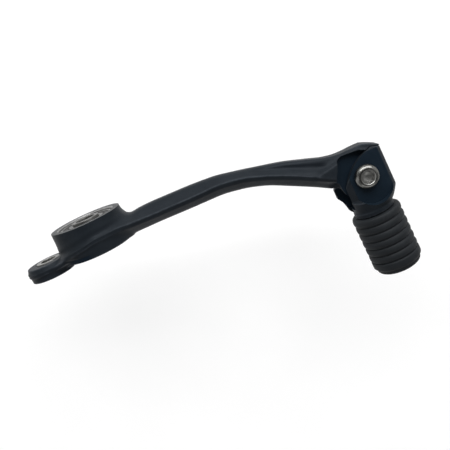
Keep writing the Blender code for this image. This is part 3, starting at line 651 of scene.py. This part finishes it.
# The recess's wall, from its sweep to clear of the metal: x, y and the corner's radius.
RECESS_WALL = [(107.2, -8.5, 2.4), (109.6, -7.5, 3.0), (117.2, -7.75, 2.0), (120.2, -9.0, 0.5),
               (122.6, -8.3, 0.3), (128.2, -9.95, 0.0), (145.0, -9.95, 0.0), (145.0, -40.0, 0.0),
               (106.0, -40.0, 0.0)]
SWEEP_FILLET = 2.0
CLEAR = 30.0  # how far cutters reach, past every face


def section_field(table, x, y, height):
    """Distance to the forged section: inboard face, bevel, ridge land, outboard bevel, outboard edge."""
    inboard, face_half, ridge, outboard, half = (through(table, column, x) for column in range(1, 6))
    land = np.maximum(ridge - LAND, outboard + 0.4)
    corners = [(inboard, face_half), (ridge, half), (land, half - LAND_DROP), (outboard, half * EDGE_SHARE)]
    sides = []
    for (ay, az), (by, bz) in zip(corners, corners[1:]):
        dy, dz = by - ay, bz - az
        length = np.hypot(dy, dz)
        across = ((y - ay) * dz - (height - az) * dy) / length
        along = ((y - ay) * dy + (height - az) * dz) / length ** 2
        sides.append((across, along))
    bevel, along = sides[0]
    end = POCKET_END - 3.0 * ease(along, 0.35, 0.9)
    lengthwise = ease(x, POCKET_START, POCKET_FULL) * (1 - ease(x, end - 5.0, end))
    crosswise = ease(along, POCKET_TOP - 0.02, POCKET_TOP + 0.2)
    crosswise = crosswise * (1 - ease(along, POCKET_LOW - 0.42, POCKET_LOW))
    bevel = bevel + lengthwise * crosswise * POCKET_DEPTH
    outer, along = sides[2]
    hollow = HOLLOW * ease(x, HOLLOW_FROM, HOLLOW_FULL)
    outer = outer + hollow * np.clip(4 * along * (1 - along), 0, 1)
    crisp = 1.0 - 0.7 * ease(x, 112.0, 120.0)
    field = smooth_max(y - inboard, bevel, crisp)
    field = smooth_max(field, sides[1][0], 0.25)
    field = smooth_max(field, outer, 0.4)
    field = field - RIM_HEIGHT * np.exp(-((y - ridge) / RIM_WIDTH) ** 2) * (height > half - 1.5)
    return smooth_max(field, outboard - y, 1.8)


def drum_field(x, y, height, centre_x, radius, parting, low, high, soft):
    """A forged drum about Y.  Where the dies met it keeps a trimmed land with a fillet above it."""
    above = y - parting
    inset, draft, land, fillet_height, swell_at, swell_height = 0.55, 0.02, 0.62, 1.25, 3.6, 1.1
    wall = radius - inset - draft * np.abs(above)
    foot = land * np.exp(-(np.maximum(above, 0) / fillet_height) ** 2) * ease(above, -2.2, -1.0)
    swell = 0.16 * np.exp(-((above - swell_at) / swell_height) ** 2)
    lower = 0.3 * ease(-above, 0.6, 1.4)
    rim = RIM_HEIGHT * np.exp(-(above / RIM_WIDTH) ** 2)
    side = np.hypot(x - centre_x, height) - (wall + foot + swell + lower + rim)
    return smooth_max(smooth_max(side, y - high, soft), low - y, soft)


def build_lever_arm():
    step = 0.36
    low, high = (-33.5, -32.0, -17.5), (129.0, 12.5, 17.5)
    x, y, z = grid_axes(low, high, step)
    height = np.sqrt(z * z + 0.04)  # away from the middle plane, with no crease at it

    arm = smooth_max(section_field(ARM, x, y, height), x - ARM_END, 0.15)
    arm = smooth_max(arm, ARM[0][0] - x, 1.0)
    pad = outline_distance(PAD, x, y)
    arm = smooth_min(arm, smooth_max(pad, height - PAD_HALF, 0.9), 3.6)
    knuckle = smooth_max(np.hypot(x - FOLD_X, y - FOLD_Y) - TONGUE_RADIUS, height - KNUCKLE_HALF, 0.6)
    arm = smooth_min(arm, knuckle, 1.2)
    web = smooth_max(section_field(WEB, x, y, height), x - WEB[-1][0], 1.0)
    web = smooth_max(web, WEB[0][0] - x, 1.0)
    parting = through(PARTING, 1, x)
    boss = drum_field(x, y, height, 0.0, BOSS_RADIUS, parting, BOSS_BACK, BOSS_FACE + 1.0, 0.9)
    skim = np.hypot(x - SKIM_SHIFT, height) - SKIM_RADIUS
    boss = smooth_max(boss, np.where(y < SKIM_TOP, skim, skim - 2 * (y - SKIM_TOP)), 0.2)
    eye = drum_field(x, y, height, EYE_X, EYE_RADIUS, parting, EYE_BACK, EYE_FACE, 0.35)
    field = smooth_min(boss, arm, 2.2)
    field = smooth_min(field, smooth_min(web, eye, 1.4), 1.8)
    arm = add_piece("lever_arm_forging", surface_of(field, low, step), FORGED)
    bore_pivot(arm)
    bore_eye(arm)
    mill_recesses(arm)
    bore_fold(arm)
    smooth_shade(arm)
    mark_wear_and_highlight(arm, field, low, step)
    mark_skim(arm)
    stand_in(arm, "lever", "lever_arm")


def bore_pivot(arm):
    """The faced boss, and the bearings' seat down to the lip behind them."""
    cut(arm, revolve(cylinder(CLEAR, BOSS_FACE, CLEAR)), BOSS_FACING, about_y())
    mouth, lip_mouth, lip_top = BORE_RADIUS + 0.5, LIP_RADIUS + 0.3, BOSS_BACK + LIP_LENGTH
    profile = [(0.0, CLEAR), (mouth, CLEAR), (mouth, BOSS_FACE), (BORE_RADIUS, BOSS_FACE - 0.5),
               (BORE_RADIUS, lip_top), (LIP_RADIUS, lip_top), (LIP_RADIUS, BOSS_BACK + 0.3),
               (lip_mouth, BOSS_BACK), (lip_mouth, -CLEAR), (0.0, -CLEAR)]
    cut(arm, revolve(profile), BORE_SKIN, about_y())


def bore_eye(arm):
    """The link eye's bore, with a spot face for the bush's flange."""
    bush_radius, spot_radius, chamfer, spot_face = 4.5, 5.5, 0.2, EYE_FACE - 0.6
    mouth, back_mouth = spot_radius + chamfer, bush_radius + 0.3
    profile = [(0.0, CLEAR), (mouth, CLEAR), (mouth, EYE_FACE), (spot_radius, EYE_FACE - chamfer),
               (spot_radius, spot_face), (bush_radius, spot_face), (bush_radius, EYE_BACK + 0.3),
               (back_mouth, EYE_BACK), (back_mouth, -CLEAR), (0.0, -CLEAR)]
    cut(arm, revolve(profile, 72), EYE_FACING, about_y(EYE_X))


def mill_recesses(arm):
    """Both sides of the tongue, swept clear for the cheeks."""
    steps = 40
    sweep = arc((FOLD_X, FOLD_Y), SWEEP_NEAR, 215, 146, steps)
    wall = [corner[:2] for corner in RECESS_WALL]
    radii = [0.0] * steps + [SWEEP_FILLET] + [corner[2] for corner in RECESS_WALL]
    cut(arm, extruded(rounded(sweep + wall, radii, steps=8), TONGUE_TOP, CLEAR), MILLED)
    cut(arm, revolve(cylinder(SWEEP_FAR, -CLEAR, TONGUE_BOTTOM), 144), MILLED, FOLD_PLACE)


def bore_fold(arm):
    """The fold bush's bore, the spring's pocket under it, and the slot for the spring's leg."""
    bore, mouth, pocket, pocket_top, deep = 4.3, 4.6, 6.3, 1.4, 10.0
    profile = [(0.0, deep), (mouth, deep), (mouth, TONGUE_TOP), (bore, TONGUE_TOP - 0.3),
               (bore, pocket_top), (pocket, pocket_top), (pocket, -deep), (0.0, -deep)]
    cut(arm, revolve(profile, 72), BORE_SKIN, FOLD_PLACE)
    half, end, start = 0.8, -8.9, -5.2
    slot = rounded([(end, -half), (start, -half), (start, half), (end, half)], 0.3)
    cut(arm, extruded(slot, -deep, pocket_top), BORE_SKIN, FOLD_PLACE)


def mark_skim(arm):
    """Stores where the lower rim of the boss was skimmed in the lathe."""
    x, y, z = places_of(arm).T
    on_skim = 1 - ease(np.abs(np.hypot(x - SKIM_SHIFT, z) - SKIM_RADIUS), 0.2, 0.5)
    store(arm, "skim", on_skim * ease(SKIM_TOP - y, 0.0, 0.3) * (1 - ease(x, -3.0, 1.0)))


build_lever_arm()


# ---- toe piece
CHEEK_TOP, CHEEK_BOTTOM = 5.7, -6.6
SLOT_TOP, SLOT_BOTTOM = 3.1, -4.0
BODY_X, BODY_RADIUS, PEG_X = 0.46, 10.77, -1.6
BODY_END, CHEEKS_END = 15.2, 14.5
COLLAR_START, COLLAR_END, COLLAR_RADIUS = 14.3, 16.6, 8.9
CORE_RADIUS, CORE_END, SLOT_ROOT = 6.6, 41.0, 12.0
BEVEL_FROM, BEVEL_FACING = (4.13, 9.58), (0.068, 0.998)
FLAT_LEFT, FLAT_RIGHT, FLAT_CENTRE, FLAT_RADIUS = -7.1, 8.95, (1.0, -3.2), 9.35
# Down the peg from the fold axis: distance, centre x and radius of the round body.
BODY = [
    (-12.0, BODY_X, BODY_RADIUS), (0.0, BODY_X, BODY_RADIUS), (8.9, BODY_X, BODY_RADIUS),
    (9.4, 0.38, 10.66), (12.1, -0.35, 9.8), (14.2, -1.15, 8.85), (14.6, -1.5, 8.6), (17.0, PEG_X, 8.5),
]
EAR = [(-4.0, 3.0), (-9.4, 1.4), (-13.4, -1.8), (-13.5, -6.1), (-11.9, -8.8), (-11.2, -11.2), (-10.9, -13.2),
       (-10.2, -14.2), (-8.5, -14.8), (-4.0, -13.4)]


def cheek_plan():
    """Curved inboard edge of the cheeks, the facet at the stop, and the straight side beyond."""
    facet_start, facet_end = (6.95, 10.24), (12.15, 8.27)
    centre, radius = (10.0, -11.45), 21.9
    slope = (facet_start[1] - facet_end[1]) / (facet_start[0] - facet_end[0])
    start = math.degrees(math.atan2(facet_start[1] - centre[1], facet_start[0] - centre[0]))
    right, left, low = 16.0, -CLEAR, -20.0
    corner = (right, facet_end[1] + (right - facet_end[0]) * slope)
    return [corner] + arc(centre, radius, start, 158, 60) + [(left, -3.0), (left, low), (right, low)]


def build_toe_clevis():
    step = 0.24
    low, high = (-15.0, -42.5, -11.5), (13.0, 12.0, 11.5)
    x, y, z = grid_axes(low, high, step)
    down = -y
    centre, radius = through(BODY, 1, down), through(BODY, 2, down)
    body = np.hypot(x - centre, z) - radius
    body = smooth_max(body, down - BODY_END, 0.5)
    off_peg = np.hypot(x - PEG_X, z)
    collar_ends = np.abs(down - (COLLAR_START + COLLAR_END) / 2) - (COLLAR_END - COLLAR_START) / 2
    collar = smooth_max(off_peg - COLLAR_RADIUS, collar_ends, 0.5)
    core = smooth_max(off_peg - CORE_RADIUS, down - CORE_END, 1.4)
    core = smooth_max(core, SLOT_ROOT - down, 0.5)

    plan = outline_distance(cheek_plan(), x, y)
    cheeks = smooth_max(body, np.minimum(plan, CHEEKS_END - down), 0.3)
    level = np.where(z > 0, CHEEK_TOP, -CHEEK_BOTTOM)
    fade = 6.0 * ease(down, 8.0, 13.0)
    left = ((FLAT_LEFT - x) + (np.abs(z) - level)) * math.sqrt(0.5) - fade
    right = ((x - FLAT_RIGHT) + (np.abs(z) - level)) * math.sqrt(0.5) - fade
    cheeks = smooth_max(smooth_max(cheeks, left, 0.25), right, 0.25)
    past_edge = (x - BEVEL_FROM[0]) * BEVEL_FACING[0] + (y - BEVEL_FROM[1]) * BEVEL_FACING[1]
    cheeks = smooth_max(cheeks, (past_edge + z - CHEEK_TOP) * math.sqrt(0.5), 0.15)
    field = smooth_min(cheeks, collar, 0.35)
    field = np.minimum(field, core)
    ear = outline_distance(rounded(EAR, 1.0, 4), x, y)
    thick = SLOT_BOTTOM + 0.5 - CHEEK_BOTTOM  # half a millimetre more than what the slot leaves
    ear = smooth_max(ear, np.abs(z - CHEEK_BOTTOM - thick / 2) - thick / 2, 0.4)
    field = smooth_min(field, ear, 0.7)
    mesh = surface_of(field, low, step)
    clevis = add_piece("toe_clevis_body", mesh, FORGED, TOE_PLACE)
    mill_clevis(clevis)
    smooth_shade(clevis)
    mark_wear_and_highlight(clevis, field, low, step, TOE_PLACE)
    stand_in(clevis, "toe_piece", "toe_clevis")


def mill_clevis(clevis):
    """The cheeks' flats, the slot between them, and the holes for the screw and the spring's tang."""
    corner = math.degrees(math.acos((FLAT_LEFT - FLAT_CENTRE[0]) / FLAT_RADIUS))
    flat = [(FLAT_LEFT, CLEAR)] + arc(FLAT_CENTRE, FLAT_RADIUS, 360 - corner, 360, 60)
    flat += [(CLEAR, FLAT_CENTRE[1]), (CLEAR, CLEAR)]
    cut(clevis, extruded(flat, CHEEK_TOP, CLEAR), MILLED, TOE_PLACE)
    cut(clevis, extruded(flat, -CLEAR, CHEEK_BOTTOM), MILLED, TOE_PLACE)
    slot = [(-CLEAR, -SLOT_ROOT), (CLEAR, -SLOT_ROOT), (CLEAR, CLEAR), (-CLEAR, CLEAR)]
    cut(clevis, extruded(slot, SLOT_BOTTOM, SLOT_TOP), MILLED, TOE_PLACE)
    screw_hole, tang_hole, tang_x = 3.3, 0.8, 5.2
    cut(clevis, revolve(cylinder(screw_hole, -CLEAR, CLEAR), 64), BORE_SKIN, TOE_PLACE)
    cut(clevis, revolve(cylinder(tang_hole, -CLEAR, 0.0), 32), BORE_SKIN,
        TOE_PLACE @ Matrix.Translation((tang_x, 0, 0)))


build_toe_clevis()


# ---- rubber
def rubber_profile():
    """Outer and inner line of the sleeve: rounded ribs, an end band, a stepped and rounded end."""
    top_radius, root_radius, pitch, ribs = 11.0, 10.15, 3.6, 6
    start, end = 16.9, 44.7
    outer = [(CORE_RADIUS + 0.3, start + 0.2), (CORE_RADIUS + 1.0, start), (root_radius - 0.5, start)]
    steps = 14
    for rib in range(ribs):
        for i in range(steps):
            share = i / steps
            lift = abs(math.sin(math.pi * share)) ** 0.55
            outer.append((root_radius + (top_radius - root_radius) * lift, start + (rib + share) * pitch))
    band = start + ribs * pitch
    outer += arc((root_radius, band + 0.85), top_radius - root_radius, -90, 0, 6)
    step_at = end - 3.0
    outer += [(top_radius, step_at - 0.3), (top_radius - 0.12, step_at + 0.1)]
    outer += [(top_radius - 0.75, step_at + 0.75), (top_radius - 1.05, step_at + 1.1)]
    outer += arc((top_radius - 2.55, end - 1.5), 1.5, 8, 82, 8)
    outer += [(top_radius - 5.0, end), (2.0, end - 0.15), (0.0, end - 0.15)]
    bore, depth = CORE_RADIUS + 0.3, CORE_END + 0.3
    inner = [(0.0, depth), (bore - 0.8, depth), (bore, depth - 0.8)]
    return [(radius, -distance) for radius, distance in inner + outer]


def mould_line(radius, height, angle):
    """A thin seam along both sides of the rubber, and the slightest unevenness round it."""
    off = min(abs(math.sin(angle)) * radius, 2.0)
    seam = 0.09 * math.exp(-(off / 0.22) ** 2)
    uneven = 0.025 * math.sin(3 * angle + 0.5) * math.sin(0.4 * height)
    return radius + (seam + uneven if radius > 8.5 else 0.0)


def build_rubber():
    """The sleeve, turned about the peg."""
    place = TOE_PLACE @ Matrix.Translation((PEG_X, 0, 0)) @ Matrix.Rotation(-math.pi / 2, 4, "X")
    mesh = revolve(rubber_profile(), 180, twist=mould_line)
    show("toe_rubber_sleeve", mesh, RUBBER, "toe_piece", "toe_rubber", place, 50)


build_rubber()


# ---- fold joint
def threads(pitch, depth, low, high):
    """Cuts a helical thread into a shank between two heights."""
    def radius_at(radius, height, angle):
        if not low < height < high:
            return radius
        phase = (height / pitch - angle / (2 * math.pi)) % 1.0
        return radius - depth * (1 - abs(2 * phase - 1))
    return radius_at


def build_fold_screw():
    """Button head with a six-lobe recess, plain under the head and threaded below."""
    seat, head, flat, shank, thread_start = CHEEK_TOP + 0.2, 5.25, 3.35, 3.0, -5.0
    top = seat + 3.0
    tip = span("fold_screw", 2)[0]
    quarter, rows = 12, 56
    profile = [(0.0, top), (flat, top)]
    for i in range(1, quarter):
        turn = math.radians(90 * i / quarter)
        profile.append((flat + 1.9 * math.sin(turn), top - 2.1 * (1 - math.cos(turn))))
    profile += [(head - 0.05, seat + 0.75), (head, seat + 0.6), (head, seat + 0.2), (head - 0.15, seat)]
    profile += [(shank, seat), (shank, thread_start)]
    profile += [(shank, thread_start + (tip + 0.5 - thread_start) * i / rows) for i in range(1, rows + 1)]
    profile += [(shank - 0.5, tip), (0.0, tip)]
    thread = threads(1.0, 0.3, tip + 0.4, thread_start - 0.2)
    mesh = revolve(profile, 72, twist=thread)
    screw = show("fold_screw_fine", mesh, SCREW_STEEL, "toe_piece", "fold_screw",
                 TOE_PLACE, 30)

    lobes, mean, wave, floor, steps = 6, 2.4, 0.3, top - 1.2, 96
    outline = []
    for angle in (2 * math.pi * i / steps for i in range(steps)):
        reach = mean + wave * math.cos(lobes * angle)
        outline.append((reach * math.cos(angle), reach * math.sin(angle)))
    # The recess's walls, lead-in and drill point take the lighter steel: painted highlight.
    cut(screw, extruded(outline, floor, top + 2.0), SOCKET_HIGHLIGHT_STEEL, TOE_PLACE)
    rim, rim_foot, depth = 3.25, 3.0, 0.25
    cone = [(0.0, top + 1.0), (rim, top + 1.0), (rim, top), (rim_foot, top - depth), (0.0, top - depth)]
    cut(screw, revolve(cone, 96), SOCKET_HIGHLIGHT_STEEL, TOE_PLACE)
    drill = 1.9
    point = [(0.0, floor + 0.3), (drill, floor + 0.3), (drill, floor), (0.0, floor - 1.0)]
    cut(screw, revolve(point, 72), SOCKET_HIGHLIGHT_STEEL, TOE_PLACE)
    smooth_shade(screw, 30)


def build_locknut():
    """Hexagon with chamfered corners, and a round crown that holds a nylon ring."""
    top = CHEEK_BOTTOM - 0.2
    bottom = span("fold_locknut", 2)[0]
    flat_radius, collar, chamfer, bend = 5.0, 0.9, 0.6, 0.5
    corner = flat_radius / math.cos(math.pi / 6)
    foot = bottom + collar
    hexagon = [(corner * math.cos(math.pi * i / 3), corner * math.sin(math.pi * i / 3)) for i in range(6)]
    mesh = extruded(rounded(hexagon, 0.25, 3), foot, top)
    nut = add_piece("fold_locknut_fine", mesh, ZINC, TOE_PLACE)
    rim, past = flat_radius - 0.2, corner + 0.4
    profile = [(0.0, top), (rim, top), (past, top - chamfer), (past, foot + chamfer), (rim, foot),
               (0.0, foot)]
    cut(nut, revolve(profile, 96), ZINC, TOE_PLACE, "INTERSECT")
    crown = [(0.0, foot + 0.4), (flat_radius - 0.7, foot + 0.4), (flat_radius - 0.7, bottom + bend)]
    crown += arc((flat_radius - 0.7 - bend, bottom + bend), bend, 0, -90, 6)[1:] + [(0.0, bottom)]
    cut(nut, revolve(crown, 96), ZINC, TOE_PLACE, "UNION")
    bore, insert = 3.3, 3.9
    cut(nut, revolve(cylinder(insert, -CLEAR, bottom + 0.35), 72), INSERT_NYLON, TOE_PLACE)
    cut(nut, revolve(cylinder(bore, -CLEAR, 0.0), 72), ZINC, TOE_PLACE)
    smooth_shade(nut, 30)
    stand_in(nut, "toe_piece", "fold_locknut")


def ring_profile(inner, outer, low, high, chamfer, steps=2):
    """A ring's section with its four corners broken."""
    return rounded([(outer, high), (outer, low), (inner, low), (inner, high)], chamfer, steps)


def build_spring():
    """Torsion spring: it is fixed to the arm by its leg, and the tang at its lower end goes into the toe
    piece.
    """
    coil, wire, turns, reach = 5.2, 0.5, 2.5, 8.6
    top, bottom, tang_end = 0.6, -2.4, -5.9
    steps = 120
    points = [(-reach, 0.0, top), (-coil - 1.0, 0.0, top)]
    for i in range(steps + 1):
        angle = TOE_SPLAY + 2 * math.pi * turns * (1 - i / steps)
        points.append((coil * math.cos(angle), coil * math.sin(angle), top + (bottom - top) * i / steps))
    points += [(*points[-1][:2], bottom - 0.7), (*points[-1][:2], tang_end)]
    curve = bpy.data.curves.new("fold_spring_wire", "CURVE")
    curve.dimensions = "3D"
    curve.bevel_depth = wire * MM
    curve.bevel_resolution = 4
    curve.use_fill_caps = True
    spline = curve.splines.new("POLY")
    spline.points.add(len(points) - 1)
    for point, place in zip(spline.points, points):
        point.co = (*(FOLD_PLACE @ Vector(place) * MM), 1.0)
    loose = add_object("wire", curve)
    mesh = evaluated_mesh(loose)
    bpy.data.objects.remove(loose)
    bm = bmesh.new()
    bm.from_mesh(mesh)
    bmesh.ops.remove_doubles(bm, verts=bm.verts, dist=1e-6)
    bm.to_mesh(mesh)
    bm.free()
    mesh.materials.append(SPRING_STEEL)
    spring = add_object("fold_spring_wire", mesh)
    smooth_shade(spring, 40)
    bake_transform(spring)
    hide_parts("fold_spring")


def build_fold_rings():
    """The bush round the screw, and the two thrust washers."""
    profile = ring_profile(3.3, 4.0, SLOT_BOTTOM + 0.15, SLOT_TOP - 0.15, 0.12)
    show_ring("fold_bush", profile, BRONZE, "toe_piece", TOE_PLACE, 72)
    for node, inner, outer in (("fold_washer_near", 4.3, 5.7), ("fold_washer_far", 6.8, 8.4)):
        profile = ring_profile(inner, outer, *span(node, 2), 0.1)
        show_ring(node, profile, ZINC, "lever", FOLD_PLACE, 72)


build_fold_screw()
build_locknut()
build_fold_rings()
build_spring()


# ---- pivot and link eye
def mirrored(half_profile):
    """A profile's upper half, followed by its lower half."""
    return half_profile + [(radius, -height) for radius, height in reversed(half_profile)]


def build_bearing(prefix, body_balls):
    """Deep-groove bearing: both rings with their raceways, seals, balls and cage."""
    half, pitch_radius, ball_radius, race, balls = 3.0, 9.0, 1.5875, 1.72, 11
    outer_shoulder, inner_shoulder, seal_seat, sides = 10.15, 7.85, 2.2, 128
    place = about_y(0.0, middle(prefix + "_outer_ring", 1))

    reach = math.degrees(math.acos((outer_shoulder - pitch_radius) / race))
    outer = mirrored([(outer_shoulder, seal_seat), (10.65, seal_seat), (10.65, half - 0.15), (10.8, half),
                      (11.6, half), (11.88, half - 0.12), (12.0, half - 0.4)])
    outer += arc((pitch_radius, 0.0), race, -reach, reach, 16)
    show_ring(prefix + "_outer_ring", outer, RING_STEEL, "lever", place, sides)

    reach = math.degrees(math.acos((pitch_radius - inner_shoulder) / race))
    inner = mirrored([(inner_shoulder, half - 0.15), (7.7, half), (6.35, half), (6.1, half - 0.12),
                      (6.0, half - 0.35)])
    inner += arc((pitch_radius, 0.0), race, 180 + reach, 180 - reach, 16)
    show_ring(prefix + "_inner_ring", inner, RING_STEEL_DARKER, "pivot_core", place, sides)

    lip = [(10.5, 0.2), (10.2, 0.2), (10.1, 0.08), (9.7, 0.08), (9.6, 0.2), (8.7, 0.2), (8.6, 0.1),
           (8.4, 0.1), (8.3, 0.2), (8.15, 0.2), (8.0, 0.0), (8.15, -0.2), (10.5, -0.2)]
    for end, side in (("inboard", 1), ("outboard", -1)):
        seal = [(radius, side * (half - 0.35 + rise)) for radius, rise in lip]
        show_ring(f"{prefix}_seal_{end}", seal, SEAL_RUBBER, "lever", place, sides)

    for i in range(1, balls + 1):
        node = f"{prefix}_ball_{i:02d}"
        bm = bmesh.new()
        bmesh.ops.create_icosphere(bm, subdivisions=4, radius=ball_radius)
        centre = Matrix.Translation([middle(node, axis) for axis in range(3)])
        show(node + "_fine", mesh_from(bm), BALL_STEEL, body_balls, node, centre, 60)

    cage = frame["nodes"][prefix + "_cage"]
    cage.data.materials.clear()
    cage.data.materials.append(CAGE_NYLON)


def build_sleeve():
    """The sleeve inside both bearings, which the lever's screw goes through."""
    outer, inner = 5.85, 4.2
    profile = ring_profile(inner, outer, SLEEVE_BACK, SLEEVE_FACE, 0.3, 3)
    show_ring("pivot_sleeve", profile, SLEEVE_STEEL, "pivot_core", about_y())


def build_eye_bush():
    """The flanged bush in the link eye."""
    back, face = span("link_eye_bush", 1)
    flange, flange_back, outer, inner = 5.2, face - 0.8, 4.2, 3.3
    corners = [(flange, face), (flange, flange_back), (outer, flange_back), (outer, back), (inner, back),
               (inner, face)]
    profile = rounded(corners, [0.2, 0.1, 0.0, 0.2, 0.2, 0.25], 3)
    show_ring("link_eye_bush", profile, ZINC_DULL, "lever", about_y(EYE_X))


build_bearing("bearing_inboard", "ball_train_inboard")
build_bearing("bearing_outboard", "ball_train_outboard")
build_sleeve()
build_eye_bush()


# ---- floor, light, camera
def build_stage():
    """A plain pale floor, low enough for the lever's full swing down."""
    swing = math.radians(max(JOINTS["lever_pivot"]["range_deg"]))
    bm = bmesh.new()
    bmesh.ops.create_grid(bm, x_segments=1, y_segments=1, size=3.0)
    floor = add_object("floor", mesh_from(bm))
    floor.location.z = CAD_BOX[0][2] - CAD_BOX[1][0] * math.sin(swing)
    n = Nodes("floor_white")
    pale = n.mix(n.ramp(n.noise(40.0), 0.3, 0.7), (0.34, 0.34, 0.34), (0.36, 0.36, 0.36))
    n.set(Base_Color=pale, Roughness=0.9, Emission_Color=(1.0, 1.0, 1.0), Emission_Strength=0.68)
    floor.data.materials.append(n.material)


def build_world():
    """A room that is dim overhead and pale round the horizon."""
    world = bpy.data.worlds.new("studio")
    world.use_nodes = True
    tree = world.node_tree
    place = tree.nodes.new("ShaderNodeTexCoord").outputs["Generated"]
    parts = tree.nodes.new("ShaderNodeSeparateXYZ")
    tree.links.new(place, parts.inputs["Vector"])
    fade = tree.nodes.new("ShaderNodeMapRange")
    fade.interpolation_type = "SMOOTHSTEP"
    tree.links.new(parts.outputs["Z"], fade.inputs["Value"])
    for slot, value in (("From Min", 0.25), ("From Max", 0.85), ("To Min", 0.34), ("To Max", 0.06)):
        fade.inputs[slot].default_value = value
    background = tree.nodes["Background"]
    background.inputs["Color"].default_value = (1, 1, 1, 1)
    tree.links.new(fade.outputs["Result"], background.inputs["Strength"])
    bpy.context.scene.world = world


def area_light(name, place, size, power):
    """A soft light turned to the lever's middle."""
    light = bpy.data.lights.new(name, "AREA")
    light.shape = "RECTANGLE"
    light.size, light.size_y = size
    light.energy = power
    lamp = add_object(name, light)
    lamp.location = place
    lamp.rotation_euler = (LIT_MIDDLE - Vector(place)).to_track_quat("-Z", "Y").to_euler()


def build_camera():
    """Seen from above the screw head, a little to the inboard side."""
    camera = bpy.data.cameras.new("camera")
    camera.lens = 49.12
    camera.clip_start = 0.01
    right = Vector((0.91954, -0.38695, 0.06863)).normalized()
    ahead = Vector((-0.02273, -0.22672, -0.97369))
    ahead = (ahead - right * ahead.dot(right)).normalized()
    turn = Matrix((right, right.cross(ahead), -ahead)).transposed().to_4x4()
    seen = add_object("camera", camera)
    seen.matrix_world = Matrix.Translation((0.05954, 0.04397, 0.25833)) @ turn
    bpy.context.scene.camera = seen


LIT_MIDDLE = Vector((0.05, -0.01, 0.0))
build_stage()
build_world()
area_light("inboard", (0.25, 0.7, 0.5), (1.3, 0.5), 14.5)
area_light("outboard", (0.05, -0.75, 0.55), (1.1, 0.4), 1.7)
area_light("toe_side", (0.85, 0.05, 0.5), (0.5, 0.9), 0.8)
area_light("boss_side", (-0.75, 0.0, 0.5), (0.5, 0.9), 1.0)
build_camera()
bpy.context.scene.view_settings.view_transform = "Standard"
